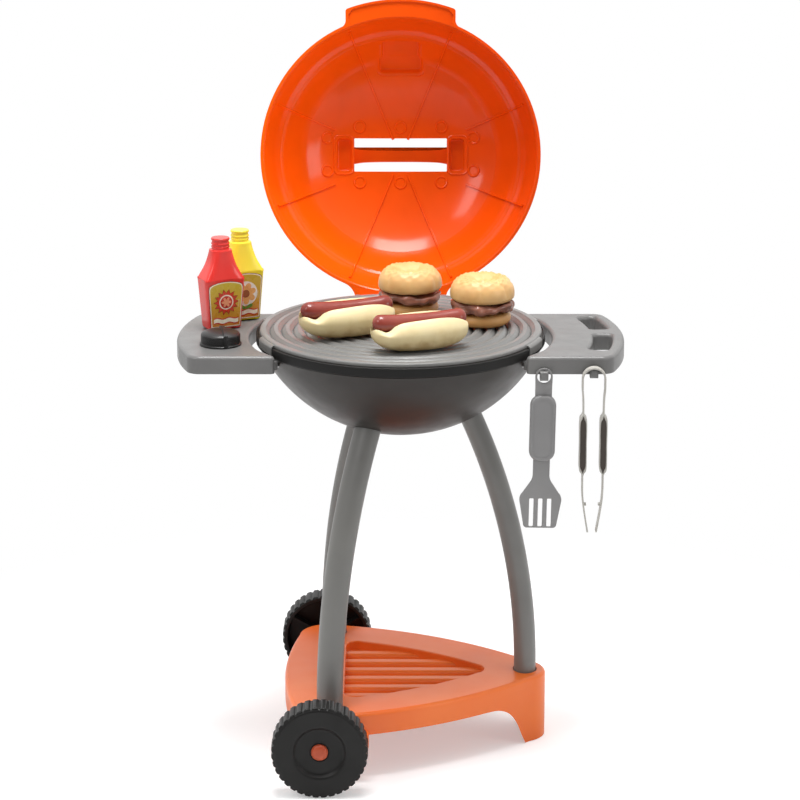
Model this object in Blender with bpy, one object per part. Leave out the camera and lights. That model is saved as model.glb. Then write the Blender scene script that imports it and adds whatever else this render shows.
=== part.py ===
"""Toy barbecue grill: a kettle on three curved legs over a wheeled tray, with two side shelves,
a ribbed grate, a lid that swings open, a clicking knob, play food, bottles and tongs and spatula.

Metres, +Z up, the front of the grill facing -Y. Everything is placed from the kettle's own
upright axis at floor level, and the whole stands under one empty that brings the middle of
its footprint to the origin.
"""
from math import acos, asin, atan2, cos, pi, radians, sin, sqrt, tan

import bmesh
import bpy
from mathutils import Matrix, Vector

# General
GAP = 0.0003
CUT_OVERRUN = 0.004
ROUND_STEPS = 36
CORNER_STEPS = 3
EDGE_STEPS = 2
LEAST_SPREAD_SHARE = 0.3

# Kettle bowl: a part of a sphere with an upright rim
BOWL_CURVE_RADIUS = 0.181
BOWL_BASE_Z = 0.3775
BOWL_DEPTH = 0.1065
BOWL_WALL = 0.003
BOWL_RIM_LEDGE = 0.0008
BOWL_RIM_HEIGHT = 0.011
BOWL_ARC_STEPS = 6

BOWL_CENTRE_Z = BOWL_BASE_Z + BOWL_CURVE_RADIUS
BOWL_SIDE_TOP_Z = BOWL_BASE_Z + BOWL_DEPTH
BOWL_SIDE_RADIUS = sqrt(BOWL_CURVE_RADIUS ** 2 - (BOWL_CURVE_RADIUS - BOWL_DEPTH) ** 2)
BOWL_RIM_RADIUS = BOWL_SIDE_RADIUS - BOWL_RIM_LEDGE
RIM_TOP_Z = BOWL_SIDE_TOP_Z + BOWL_RIM_HEIGHT

# Black band round the rim, open where the grate hooks over it
BAND_THICKNESS = 0.0023
BAND_EDGE = 0.0008
BAND_STRIP = 0.002
BAND_NOTCH_CLEARANCE = 0.0015
BAND_RADIUS = BOWL_RIM_RADIUS + GAP + BAND_THICKNESS

# Grate: ring ridges over a plate, a flange on the rim and four hooks over it
GRATE_RISE = 0.005
GRATE_INSET = 0.0016
GRATE_PLATE = 0.0022
GRATE_PLATE_CLEARANCE = 0.002
GRATE_STEPS = 24
RIDGE_PITCH = 0.0135
RIDGE_COUNT = 11
GROOVE_DEPTH = 0.005
GROOVE_HALF_WIDTH = 0.003
HOOK_ANGLE = radians(21)
HOOK_HALF_ANGLE = radians(7.5)
HOOK_CLEARANCE = 0.001
HOOK_THICKNESS = 0.0022
HOOK_STEPS = 4

GRATE_TOP_Z = RIM_TOP_Z + GRATE_RISE
GRATE_RADIUS = BOWL_RIM_RADIUS - GRATE_INSET
GRATE_UNDER_Z = GRATE_TOP_Z - GROOVE_DEPTH - GRATE_PLATE
HOOK_INNER_RADIUS = BOWL_RIM_RADIUS + HOOK_CLEARANCE
HOOK_OUTER_RADIUS = HOOK_INNER_RADIUS + HOOK_THICKNESS

# Lid, modelled closed and then turned open about its hinge
LID_OVERHANG = 0.0027
LID_LIFT = 0.0035
LID_SEAT_GAP = 0.0005
LID_HEIGHT = 0.1075
LID_WALL = 0.003
LID_OPEN_ANGLE = radians(103.2)
LID_PROFILE_SHARES = (
    (1.0, 0.0), (1.0, 0.045), (0.984, 0.06), (0.964, 0.2), (0.918, 0.38), (0.876, 0.478),
    (0.858, 0.494), (0.812, 0.592), (0.75, 0.69), (0.7, 0.752), (0.682, 0.768), (0.59, 0.845),
    (0.44, 0.925), (0.26, 0.977), (0.0, 1.0),
)
LID_INSIDE_SHARES = (
    (1.0, -0.05), (1.0, 0.045), (0.964, 0.2), (0.858, 0.494), (0.75, 0.69), (0.59, 0.845), (0.44, 0.925),
    (0.26, 0.977), (0.0, 1.0),
)

LID_RADIUS = BAND_RADIUS + LID_OVERHANG
LID_RIM_Z = RIM_TOP_Z + LID_LIFT
HOOK_TOP_Z = LID_RIM_Z - LID_SEAT_GAP

# Lid lip at the front
LIP_REACH = 0.0178
LIP_HALF_WIDTH = 0.0665
LIP_THICKNESS = 0.004
LIP_CORNER = 0.009
LIP_STEPS = 8

# Lid handle: two hollow posts and a bar over a finger opening
HANDLE_HALF_LENGTH = 0.082
HANDLE_HALF_WIDTH = 0.0235
HANDLE_STAND = 0.0265
HANDLE_BAR_HALF_WIDTH = 0.0082
HANDLE_BAR_THICKNESS = 0.0065
HANDLE_POST_LENGTH = 0.0245
HANDLE_EDGE = 0.006
HANDLE_ROOT_SHARE = 0.84

HANDLE_TOP_Z = LID_RIM_Z + LID_HEIGHT + HANDLE_STAND
HANDLE_OPENING_HALF_LENGTH = HANDLE_HALF_LENGTH - HANDLE_POST_LENGTH
HANDLE_OPENING_HALF_WIDTH = HANDLE_HALF_WIDTH - LID_WALL

# Raised housing on the lid, between the handle and the lip
HOUSING_WIDTH = 0.053
HOUSING_LENGTH = 0.05
HOUSING_STAND = 0.008
HOUSING_DEPTH = 0.024
HOUSING_RADIUS_SHARE = 0.68
HOUSING_HEIGHT_SHARE = 0.765
HOUSING_SLOPE = radians(36)

# Lid hinge
HINGE_SETBACK = 0.0083
HINGE_DROP = 0.0065
KNUCKLE_RADIUS = 0.0052
KNUCKLE_HALF_LENGTH = 0.048
HINGE_PIN_RADIUS = 0.0022
HINGE_BORE_CLEARANCE = 0.0004
HINGE_TAB_THICKNESS = 0.004
HINGE_TAB_HALF_WIDTH = 0.0555
KNUCKLE_ROLL = radians(280)
KNUCKLE_STEPS = 10
EAR_THICKNESS = 0.006
EAR_CLEARANCE = 0.0006
EAR_RADIUS = 0.0062
EAR_STEPS = 6
BRACKET_HEIGHT = 0.0085
BRACKET_DEPTH = 0.026
PIN_HEAD_RADIUS = 0.0042
PIN_HEAD_THICKNESS = 0.0016
PIN_STEPS = 12

HINGE_Y = BAND_RADIUS + HINGE_SETBACK
HINGE_Z = RIM_TOP_Z - HINGE_DROP

# Side shelves
SHELF_GAP = 0.009
SHELF_REACH = 0.082
SHELF_HALF_DEPTH = 0.1
SHELF_TOP_DROP = 0.004
SHELF_THICKNESS = 0.0205
SHELF_WALL = 0.003
SHELF_TOP_EDGE = 0.0055
SHELF_OUTER_CORNER = 0.013
SHELF_INNER_CORNER = 0.004
SHELF_ARC_STEPS = 8
SHELF_OUTER_TRIM_SHARE = 1.2
SHELF_INNER_TRIM_SHARE = 1.6
LUG_INSET = 0.0108
LUG_HALF_WIDTH = 0.008
LUG_HEIGHT = 0.0105
LUG_LENGTH = 0.03

SHELF_TOP_Z = RIM_TOP_Z - SHELF_TOP_DROP
SHELF_UNDER_Z = SHELF_TOP_Z - SHELF_THICKNESS
SHELF_INNER_RADIUS = BAND_RADIUS + SHELF_GAP
SHELF_OUTER_RADIUS = SHELF_INNER_RADIUS + SHELF_REACH
SHELF_INNER_CORNER_X = sqrt(SHELF_INNER_RADIUS ** 2 - SHELF_HALF_DEPTH ** 2)
SHELF_OUTER_CORNER_X = sqrt(SHELF_OUTER_RADIUS ** 2 - SHELF_HALF_DEPTH ** 2)
LUG_ANGLE = asin((SHELF_HALF_DEPTH - LUG_INSET) / SHELF_INNER_RADIUS)

# Two finger holes that make the right shelf's outer edge a carrying handle
FINGER_HOLE_SIDE = 0.012
FINGER_HOLE_WIDTH = 0.025
FINGER_HOLE_FRONT_INSET = 0.028
FINGER_HOLE_REAR_INSET = 0.012
FINGER_RIB_FRONT_Y = 0.008
FINGER_RIB_REAR_Y = 0.022
FINGER_HOLES_Y = ((FINGER_HOLE_FRONT_INSET - SHELF_HALF_DEPTH, FINGER_RIB_FRONT_Y),
                  (FINGER_RIB_REAR_Y, SHELF_HALF_DEPTH - FINGER_HOLE_REAR_INSET))
FINGER_HOLE_CORNER = 0.006
FINGER_HOLE_STEPS = 3

# Tool pegs under the right shelf's front edge
PEG_REACH = 0.0105
PEG_ROOT = 0.0025
PEG_HEIGHT = 0.0105
PEG_CHAMFER = 0.003
PEG_HALF_WIDTH = 0.0048
HANG_CLEARANCE = 0.0007
SPATULA_PEG_INSET = 0.017
SPATULA_X = SHELF_INNER_CORNER_X + SPATULA_PEG_INSET
SPATULA_PEG_TOP_Z = SHELF_UNDER_Z + 0.0052
TONGS_PEG_INSET = 0.02
TONGS_X = SHELF_OUTER_CORNER_X - TONGS_PEG_INSET
TONGS_PEG_TOP_Z = SHELF_UNDER_Z + 0.0082

# Knob on the left shelf, its stem, its ratchet under the shelf and the pawl that clicks on it
KNOB_INSET = 0.0523
KNOB_X = KNOB_INSET - SHELF_OUTER_RADIUS
KNOB_Y = -0.044
KNOB_RADIUS = 0.0226
KNOB_FLANGE = 0.0013
KNOB_FLANGE_HEIGHT = 0.0022
KNOB_HEIGHT = 0.0085
KNOB_CROWN = 0.0014
KNOB_STEPS = 24
KNOB_GRIP_HALF_WIDTH = 0.0045
KNOB_GRIP_HEIGHT = 0.0118
KNOB_GRIP_TURN = radians(12)
KNOB_STEM_RADIUS = 0.004
KNOB_STEM_CLEARANCE = 0.0005
RATCHET_TEETH = 12
RATCHET_RADIUS = 0.011
RATCHET_TOOTH = 0.0018
RATCHET_THICKNESS = 0.0035
PAWL_LENGTH = 0.014
PAWL_WIDTH = 0.006
PAWL_THICKNESS = 0.003

# Legs: one curved oval bar, used three times
LEG_HALF_DEPTH = 0.013
LEG_HALF_WIDTH = 0.0165
LEG_BEND_RADIUS = 0.75
LEG_STRAIGHT = 0.022
LEG_SIDES = 14
LEG_RINGS = 9
RIGHT_FOOT_X = 0.1477
LEFT_FOOT_X = -0.0815
LEFT_FOOT_Y = 0.124
LEFT_LEAN = radians(50)

# Base tray
TRAY_TOP_Z = 0.0805
TRAY_WALL = 0.003
TRAY_SKIRT = 0.027
TRAY_TOP_EDGE = 0.004
TRAY_LEFT_CORNER_X = -0.088
TRAY_LEFT_CORNER_Y = 0.122
TRAY_LEFT_CORNER_RADIUS = 0.036
TRAY_LEFT_BULGE = 0.013
TRAY_SIDE_BULGE = 0.019
TRAY_RIGHT_CORNER_X = 0.137
TRAY_RIGHT_CORNER_RADIUS = 0.035
TRAY_CORNER_STEPS = 5
TRAY_SIDE_STEPS = 5
TRAY_FOOT_START_X = 0.098
TRAY_FOOT_INNER_X = 0.148
ARCH_SHARES = ((0.0, 1.0), (0.34, 0.97), (0.6, 0.82), (0.78, 0.55), (0.9, 0.24), (1.0, 0.0))

# Ribbed recess in the tray
RECESS_DEPTH = 0.011
RECESS_LEFT_X = -0.066
RECESS_HALF_DEPTH = 0.104
RECESS_RIGHT_X = 0.101
RECESS_LEFT_CORNER = 0.014
RECESS_RIGHT_CORNER = 0.016
RECESS_BULGE = 0.01
RECESS_STEPS = 4
RIB_PITCH = 0.0284
RIB_COUNT = 6
RIB_HALF_WIDTH = 0.0105
RIB_HEIGHT = 0.004
RIB_SHARES = ((-1.0, 0.0), (-0.72, 0.85), (0.0, 1.0), (0.72, 0.85), (1.0, 0.0))

# Leg sockets in the tray
SOCKET_CLEARANCE = 0.0006
SOCKET_WALL = 0.003
SOCKET_DEPTH = 0.0175

# Wheels, axle and hub caps
WHEEL_RADIUS = 0.055
WHEEL_WIDTH = 0.0316
WHEEL_FACE_Y = 0.2058
WHEEL_TREADS = 36
WHEEL_TREAD_DEPTH = 0.0018
WHEEL_WALL = 0.004
WHEEL_EDGE = 0.002
DISH_RADIUS = 0.0294
DISH_DEPTH = 0.0045
HUB_RADIUS = 0.0105
AXLE_X = -0.0918
AXLE_RADIUS = 0.003
AXLE_CLEARANCE = 0.0004
WHEEL_END_PLAY = 0.0005
CAP_RADIUS = 0.0097
CAP_HEIGHT = 0.005
CAP_STEPS = 14
CAP_SHARES = ((0.0, 1.0), (0.55, 0.93), (0.9, 0.6), (1.0, 0.2), (1.0, 0.0))
AXLE_HOUSING_LEFT_X = -0.128
AXLE_HOUSING_RIGHT_X = -0.0365
AXLE_HOUSING_FACE_Y = 0.1585
AXLE_HOUSING_DEPTH = 0.02
AXLE_HOUSING_UNDER_Z = 0.026
AXLE_HOUSING_CORNER = 0.02
AXLE_HOUSING_STEPS = 4

# Screws
SCREW_RADIUS = 0.002
SCREW_HEAD_RADIUS = 0.0045
SCREW_HEAD_HEIGHT = 0.002
SCREW_LENGTH = 0.014
SCREW_HOLE_CLEARANCE = 0.0004
SCREW_TIP_CLEARANCE = 0.001
SCREW_SIDES = 6

# Bottles
BOTTLE_HEIGHT = 0.094
BOTTLE_SHOULDER_Z = 0.061
BOTTLE_WIDTH = 0.049
BOTTLE_DEPTH = 0.03
BOTTLE_BASE_SHARE = 0.82
BOTTLE_NECK_RADIUS = 0.0128
BOTTLE_SIDES = 16
BOTTLE_SQUARENESS = 5
BOTTLE_TURN = radians(18)
BOTTLE_SHOULDER_SHARES = ((0.0, 1.0), (0.3, 0.62), (0.62, 0.24), (0.85, 0.06), (1.0, 0.0))
CAP_RING_RADIUS = 0.0108
CAP_RING_HEIGHT = 0.014
CAP_RING_SHARES = ((0.93, 0.0), (0.93, 0.3), (1.0, 0.4), (1.0, 1.0))
KETCHUP_INSET = 0.0493
KETCHUP_REAR_INSET = 0.0675
MUSTARD_INSET = 0.0678
MUSTARD_REAR_INSET = 0.0255
KETCHUP_PLACE = (KETCHUP_INSET - SHELF_OUTER_RADIUS, SHELF_HALF_DEPTH - KETCHUP_REAR_INSET)
MUSTARD_PLACE = (MUSTARD_INSET - SHELF_OUTER_RADIUS, SHELF_HALF_DEPTH - MUSTARD_REAR_INSET)
LABEL_WIDTH = 0.037
LABEL_TOP_SHARE = 0.86
LABEL_BASE_SHARE = 0.07
LABEL_BASE_WIDTH_SHARE = 0.84
LABEL_THICKNESS = 0.0005
LABEL_CORNER_SHARE = 0.12

# Hot dogs: a split bun and a bowed sausage
BUN_HALF_LENGTH = 0.0595
BUN_HALF_WIDTH = 0.024
BUN_HEIGHT = 0.038
BUN_STEPS = 16
BUN_RINGS = 9
BUN_END_ROUNDNESS = 2.6
BUN_SIDE_ROUNDNESS = 2.4
BUN_END_DROP_SHARE = 0.25
SAUSAGE_RADIUS = 0.0098
SAUSAGE_HALF_LENGTH = 0.0555
SAUSAGE_BOW = 0.003
SAUSAGE_CENTRE = 0.0295
SAUSAGE_SIDES = 12
SAUSAGE_RINGS = 5
SAUSAGE_END_RINGS = 2
GROOVE_CLEARANCE = 0.0006
HOT_DOG_PLACES = ((-0.062, -0.041, radians(20)), (0.0205, -0.1, radians(18)))

# Burgers: bottom bun, patty and top bun
BURGER_BASE_RADIUS = 0.0295
BURGER_BASE_HEIGHT = 0.015
PATTY_RADIUS = 0.0388
PATTY_HEIGHT = 0.0135
CROWN_RADIUS = 0.0375
CROWN_HEIGHT = 0.0315
BURGER_STEPS = 20
BURGER_BASE_SHARES = ((0.0, 0.0), (0.8, 0.0), (0.97, 0.25), (1.0, 0.55), (0.93, 0.88), (0.82, 1.0), (0.0, 1.0))
PATTY_SHARES = ((0.0, 0.0), (0.88, 0.0), (0.98, 0.2), (1.0, 0.5), (0.97, 0.82), (0.86, 1.0), (0.0, 1.0))
CROWN_SHARES = (
    (0.0, 0.0), (0.86, 0.0), (0.97, 0.12), (1.0, 0.32), (0.97, 0.56), (0.83, 0.82), (0.62, 0.97),
    (0.48, 1.0), (0.32, 0.95), (0.0, 0.88),
)
BURGER_PLACES = ((0.011, 0.066), (0.0945, 0.018))

# Spatula
SPATULA_THICKNESS = 0.003
SPATULA_RING_RADIUS = 0.0098
SPATULA_RING_HOLE = 0.0077
SPATULA_RING_STEPS = 10
SPATULA_GRIP_STEPS = 4
SPATULA_NECK_HALF_WIDTH = 0.0095
SPATULA_GRIP_TOP = 0.0215
SPATULA_GRIP_LENGTH = 0.077
SPATULA_GRIP_HALF_WIDTH = 0.0147
SPATULA_GRIP_CORNER = 0.012
SPATULA_GRIP_THICKNESS = 0.0075
SPATULA_NECK_LENGTH = 0.0255
SPATULA_SHOULDER_DROP = 0.017
SPATULA_BLADE_HALF_WIDTH = 0.0248
SPATULA_BLADE_LENGTH = 0.0375
SPATULA_TIP_HALF_WIDTH = 0.0183
SPATULA_SLOT_WIDTH = 0.005
SPATULA_SLOT_LENGTH = 0.034
SPATULA_SLOT_PITCH = 0.0101
SPATULA_FACE_GAP = 0.001
SPATULA_TILT = radians(1)

# Tongs: a bow over the peg, two springy arms and two grips
TONGS_STRIP = 0.0022
TONGS_STRIP_WIDTH = 0.01
TONGS_FACE_GAP = 0.003
TONGS_BOW_RADIUS = 0.0138
TONGS_BOW_SIDE = 0.012
TONGS_BOW_STEPS = 12
TONGS_ARM_POINTS = ((0.0, 0.0), (0.02, 0.0012), (0.09, 0.0012), (0.128, 0.0018), (0.168, 0.0078))
TONGS_GRIP_TOP = 0.031
TONGS_GRIP_LENGTH = 0.066
TONGS_GRIP_HALF_WIDTH = 0.0037
TONGS_GRIP_TAPER = 0.007
TONGS_GRIP_CLEARANCE = 0.0003
TONGS_NUB_DROP = 0.134
TONGS_NUB_SIZE = 0.003
TONGS_NUB_REACH = 0.0042

# Reach of the whole grill in front of and behind the kettle's axis, for its place on the origin
FRONT_REACH = WHEEL_FACE_Y - DISH_DEPTH + GAP + CAP_HEIGHT


def turned_open(y, z):
    """A point of the closed lid, in the Y-Z plane, after the lid has swung open."""
    back = y - HINGE_Y
    up = z - HINGE_Z
    return (HINGE_Y + back * cos(LID_OPEN_ANGLE) + up * sin(LID_OPEN_ANGLE),
            HINGE_Z - back * sin(LID_OPEN_ANGLE) + up * cos(LID_OPEN_ANGLE))


BACK_REACH = turned_open(HANDLE_EDGE - HANDLE_HALF_WIDTH, HANDLE_TOP_Z - GAP)[0]
GRILL_Y = (FRONT_REACH - BACK_REACH) / 2


# Scene and object helpers

def clear_scene():
    for item in list(bpy.data.objects):
        bpy.data.objects.remove(item, do_unlink=True)


def make_material(name, color, roughness, metallic=0.0):
    material = bpy.data.materials.new(name)
    material.use_nodes = True
    shader = material.node_tree.nodes["Principled BSDF"]
    shader.inputs["Base Color"].default_value = (*color, 1.0)
    shader.inputs["Roughness"].default_value = roughness
    shader.inputs["Metallic"].default_value = metallic
    material.diffuse_color = (*color, 1.0)
    return material


def add_pivot(name, place, parent=None, turn=(0.0, 0.0, 0.0)):
    """An empty on a joint's axis, or in the middle of a loose piece."""
    pivot = bpy.data.objects.new(name, None)
    bpy.context.scene.collection.objects.link(pivot)
    pivot.parent = parent
    pivot.location = Vector(place) - (Vector(parent["place"]) if parent else Vector())
    pivot.rotation_euler = turn
    pivot["place"] = tuple(place) if parent else (0.0, 0.0, 0.0)
    return pivot


def add_object(name, shape, material, pivot, smooth=True, local=False):
    """Make an object of a bmesh that is drawn from the kettle's axis, or from its own pivot."""
    bmesh.ops.recalc_face_normals(shape, faces=shape.faces)
    mesh = bpy.data.meshes.new(name)
    shape.to_mesh(mesh)
    shape.free()
    if smooth:
        mesh.shade_smooth()
        mesh.set_sharp_from_angle(angle=radians(35))
    item = bpy.data.objects.new(name, mesh)
    bpy.context.scene.collection.objects.link(item)
    if material:
        mesh.materials.append(material)
    item.parent = pivot
    if not local:
        item.location = -Vector(pivot["place"])
    return item


def add_cutter(name, shape, pivot, local=False):
    cutter = add_object(name, shape, None, pivot, smooth=False, local=local)
    cutter.hide_render = True
    cutter.display_type = "WIRE"
    return cutter


def cut(item, cutter):
    boolean = item.modifiers.new(cutter.name, "BOOLEAN")
    boolean.operation = "DIFFERENCE"
    boolean.object = cutter


def join(item, cutter):
    boolean = item.modifiers.new(cutter.name, "BOOLEAN")
    boolean.operation = "UNION"
    boolean.object = cutter


# Shape helpers

def lathe(shape, profile, steps=ROUND_STEPS, centre=(0.0, 0.0), doubled=(), halved=(), scallop=0.0):
    """Turn a closed profile of (radius, height) points about an upright axis.

    Rings listed as doubled have twice the steps, and every other point of theirs is drawn in by
    the scallop; rings listed as halved have half the steps.
    """
    rings = []
    for index, (radius, height) in enumerate(profile):
        if radius <= 0.0:
            rings.append([shape.verts.new((centre[0], centre[1], height))])
            continue
        count = steps * 2 if index in doubled else steps // 2 if index in halved else steps
        ring = []
        for step in range(count):
            angle = 2 * pi * step / count
            reach = radius - (scallop if index in doubled and step % 2 else 0.0)
            ring.append(shape.verts.new((centre[0] + reach * cos(angle), centre[1] + reach * sin(angle), height)))
        rings.append(ring)
    for index, ring in enumerate(rings):
        other = rings[(index + 1) % len(rings)]
        coarse, fine = (ring, other) if len(ring) <= len(other) else (other, ring)
        if len(fine) == 1:
            continue
        times = len(fine) // len(coarse) if len(coarse) > 1 else 1
        for step in range(len(fine) // times):
            near = [coarse[step % len(coarse)], coarse[(step + 1) % len(coarse)]]
            far = [fine[(step * times + extra) % len(fine)] for extra in range(times, -1, -1)]
            shape.faces.new(list(dict.fromkeys(near + far)))
    return shape


def sector(shape, profile, start, end, steps):
    """Turn a closed profile through part of a circle and close both ends."""
    rings = []
    for step in range(steps + 1):
        angle = start + (end - start) * step / steps
        rings.append([shape.verts.new((radius * cos(angle), radius * sin(angle), height))
                      for radius, height in profile])
    count = len(profile)
    for step in range(steps):
        for index in range(count):
            after = (index + 1) % count
            shape.faces.new((rings[step][index], rings[step + 1][index], rings[step + 1][after], rings[step][after]))
    shape.faces.new(rings[0])
    shape.faces.new(rings[-1])
    return shape


def prism(shape, outline, low, high):
    """Raise an outline of (x, y) points from one height to another."""
    bottom = [shape.verts.new((x, y, low)) for x, y in outline]
    top = [shape.verts.new((x, y, high)) for x, y in outline]
    count = len(outline)
    for index in range(count):
        after = (index + 1) % count
        shape.faces.new((bottom[index], bottom[after], top[after], top[index]))
    shape.faces.new(bottom)
    return shape.faces.new(top)


def side_prism(shape, outline, low, high):
    """Run an outline of (y, z) points from one x to another."""
    first = [shape.verts.new((low, y, z)) for y, z in outline]
    last = [shape.verts.new((high, y, z)) for y, z in outline]
    skin(shape, first, last)


def front_prism(shape, outline, low, high):
    """Run an outline of (x, z) points from one y to another."""
    first = [shape.verts.new((x, low, z)) for x, z in outline]
    last = [shape.verts.new((x, high, z)) for x, z in outline]
    skin(shape, first, last)


def skin(shape, first, last):
    """Walls between two rings of vertices, and a face over each."""
    for index in range(len(first)):
        after = (index + 1) % len(first)
        shape.faces.new((first[index], first[after], last[after], last[index]))
    shape.faces.new(first)
    shape.faces.new(last)


def box(shape, low, high):
    outline = ((low[0], low[1]), (high[0], low[1]), (high[0], high[1]), (low[0], high[1]))
    return prism(shape, outline, low[2], high[2])


def rod(shape, start, end, radius, sides):
    """A straight round bar between two points."""
    axis = Vector(end) - Vector(start)
    result = bmesh.ops.create_cone(shape, cap_ends=True, segments=sides, radius1=radius, radius2=radius,
                                   depth=axis.length)
    turn = Vector((0.0, 0.0, 1.0)).rotation_difference(axis.normalized()).to_matrix().to_4x4()
    place = Matrix.Translation((Vector(start) + Vector(end)) / 2) @ turn
    bmesh.ops.transform(shape, matrix=place, verts=result["verts"])


def sweep(shape, centres, sections):
    """Join closed sections, each a list of points, one to the next, and cap both ends."""
    rings = [[shape.verts.new(centre + offset) for offset in section] for centre, section in zip(centres, sections)]
    count = len(rings[0])
    for ring, following in zip(rings, rings[1:]):
        for index in range(count):
            after = (index + 1) % count
            shape.faces.new((ring[index], ring[after], following[after], following[index]))
    shape.faces.new(rings[0])
    shape.faces.new(rings[-1])


def arc_points(centre, radius, start, end, steps):
    return [(centre[0] + radius * cos(start + (end - start) * step / steps),
             centre[1] + radius * sin(start + (end - start) * step / steps)) for step in range(steps + 1)]


def bulged(start, end, bulge, steps):
    """Points between two corners on an arc that stands out to the right of the way by its bulge."""
    chord = Vector((end[0] - start[0], end[1] - start[1]))
    side = Vector((chord.y, -chord.x)).normalized()
    points = []
    for step in range(1, steps):
        share = step / steps
        out = bulge * (1 - (2 * share - 1) ** 2)
        points.append((start[0] + chord.x * share + side.x * out, start[1] + chord.y * share + side.y * out))
    return points


def rounded(corners, steps):
    """An outline whose corners, given as (x, y, radius), are rounded."""
    outline = []
    count = len(corners)
    for index, (x, y, radius) in enumerate(corners):
        if radius == 0.0:
            outline.append((x, y))
            continue
        here = Vector((x, y))
        back = (Vector(corners[index - 1][:2]) - here).normalized()
        ahead = (Vector(corners[(index + 1) % count][:2]) - here).normalized()
        half = acos(max(-1.0, min(1.0, back.dot(ahead)))) / 2
        centre = here + (back + ahead).normalized() * radius / sin(half)
        reach = radius / tan(half)
        first = here + back * reach - centre
        last = here + ahead * reach - centre
        start = atan2(first.y, first.x)
        turn = atan2(last.y, last.x) - start
        turn = (turn + pi) % (2 * pi) - pi
        outline += arc_points(centre, radius, start, start + turn, steps)
    return outline


def inset_outline(outline, distance):
    """Move an anticlockwise outline inwards, square to its sides."""
    count = len(outline)
    moved = []
    for index, (x, y) in enumerate(outline):
        here = Vector((x, y))
        before = (here - Vector(outline[index - 1])).normalized()
        after = (Vector(outline[(index + 1) % count]) - here).normalized()
        normal = Vector((-before.y - after.y, before.x + after.x)).normalized()
        spread = max(LEAST_SPREAD_SHARE, normal.dot(Vector((-before.y, before.x))))
        moved.append((x + normal.x * distance / spread, y + normal.y * distance / spread))
    return moved


def soften(shape, face, width, steps=EDGE_STEPS):
    """Round the edges all round one face."""
    bmesh.ops.bevel(shape, geom=list(face.edges), offset=width, segments=steps, profile=0.5,
                    affect="EDGES", clamp_overlap=True)


def soft_prism(shape, outline, low, high, edge, steps=EDGE_STEPS):
    soften(shape, prism(shape, outline, low, high), edge, steps)


def screw(shape, seat, direction, length=SCREW_LENGTH):
    """A pan-head screw whose head's underside lies at the seat and whose shank runs on."""
    way = Vector(direction).normalized()
    start = Vector(seat)
    side = way.orthogonal().normalized()
    across = way.cross(side)
    rings = []
    for radius, place in ((SCREW_HEAD_RADIUS, start - way * SCREW_HEAD_HEIGHT), (SCREW_HEAD_RADIUS, start),
                          (SCREW_RADIUS, start), (SCREW_RADIUS, start + way * length)):
        rings.append([shape.verts.new(place + (side * cos(2 * pi * step / SCREW_SIDES)
                                               + across * sin(2 * pi * step / SCREW_SIDES)) * radius)
                      for step in range(SCREW_SIDES)])
    for ring, following in zip(rings, rings[1:]):
        for index in range(SCREW_SIDES):
            after = (index + 1) % SCREW_SIDES
            shape.faces.new((ring[index], ring[after], following[after], following[index]))
    shape.faces.new(rings[0])
    shape.faces.new(rings[-1])


def screw_hole(shape, seat, direction, length=SCREW_LENGTH):
    way = Vector(direction).normalized()
    start = Vector(seat)
    rod(shape, start - way * CUT_OVERRUN, start + way * (length + SCREW_TIP_CLEARANCE),
        SCREW_RADIUS + SCREW_HOLE_CLEARANCE, SCREW_SIDES)


# Materials

clear_scene()
ORANGE_LID = make_material("orange_lid", (0.78, 0.07, 0.01), 0.25)
ORANGE_TRAY = make_material("orange_tray", (0.8, 0.16, 0.05), 0.4)
KETTLE_BLACK = make_material("kettle_black", (0.04, 0.037, 0.033), 0.42)
BAND_BLACK = make_material("band_black", (0.018, 0.016, 0.015), 0.5)
SHELF_GREY = make_material("shelf_grey", (0.2, 0.19, 0.175), 0.5)
LEG_GREY = make_material("leg_grey", (0.15, 0.148, 0.14), 0.45)
WHEEL_GREY = make_material("wheel_grey", (0.03, 0.028, 0.027), 0.5)
KNOB_BLACK = make_material("knob_black", (0.012, 0.012, 0.012), 0.35)
STEEL = make_material("steel", (0.6, 0.6, 0.6), 0.3, 1.0)
KETCHUP_RED = make_material("ketchup_red", (0.62, 0.02, 0.02), 0.35)
MUSTARD_YELLOW = make_material("mustard_yellow", (0.87, 0.7, 0.02), 0.35)
LABEL_GOLD = make_material("label_gold", (0.62, 0.38, 0.07), 0.45)
BREAD = make_material("bread", (0.78, 0.62, 0.33), 0.5)
ROLL = make_material("roll", (0.74, 0.5, 0.22), 0.5)
SAUSAGE_BROWN = make_material("sausage_brown", (0.25, 0.04, 0.03), 0.3)
PATTY_BROWN = make_material("patty_brown", (0.09, 0.026, 0.015), 0.4)
TOOL_GREY = make_material("tool_grey", (0.2, 0.2, 0.2), 0.5)
TONGS_SILVER = make_material("tongs_silver", (0.55, 0.54, 0.5), 0.4)
GRIP_BROWN = make_material("grip_brown", (0.05, 0.036, 0.028), 0.5)

GRILL = add_pivot("grill", (0.0, GRILL_Y, 0.0))


# Kettle

def bowl_arc(offset):
    """The sphere's outline from the bottom pole up to the side, grown by an offset."""
    radius = BOWL_CURVE_RADIUS + offset
    top = acos((BOWL_CURVE_RADIUS - BOWL_DEPTH) / radius)
    return [(radius * sin(top * step / BOWL_ARC_STEPS), BOWL_CENTRE_Z - radius * cos(top * step / BOWL_ARC_STEPS))
            for step in range(BOWL_ARC_STEPS + 1)]


def kettle_clearance():
    """A solid a gap larger than the bowl and its band, to fit neighbours against them."""
    profile = bowl_arc(GAP)
    profile += [(BAND_RADIUS + GAP, BOWL_SIDE_TOP_Z), (BAND_RADIUS + GAP, RIM_TOP_Z + CUT_OVERRUN),
                (0.0, RIM_TOP_Z + CUT_OVERRUN)]
    return add_cutter("kettle_clearance", lathe(bmesh.new(), profile), GRILL)


KETTLE_CLEARANCE = kettle_clearance()


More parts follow.
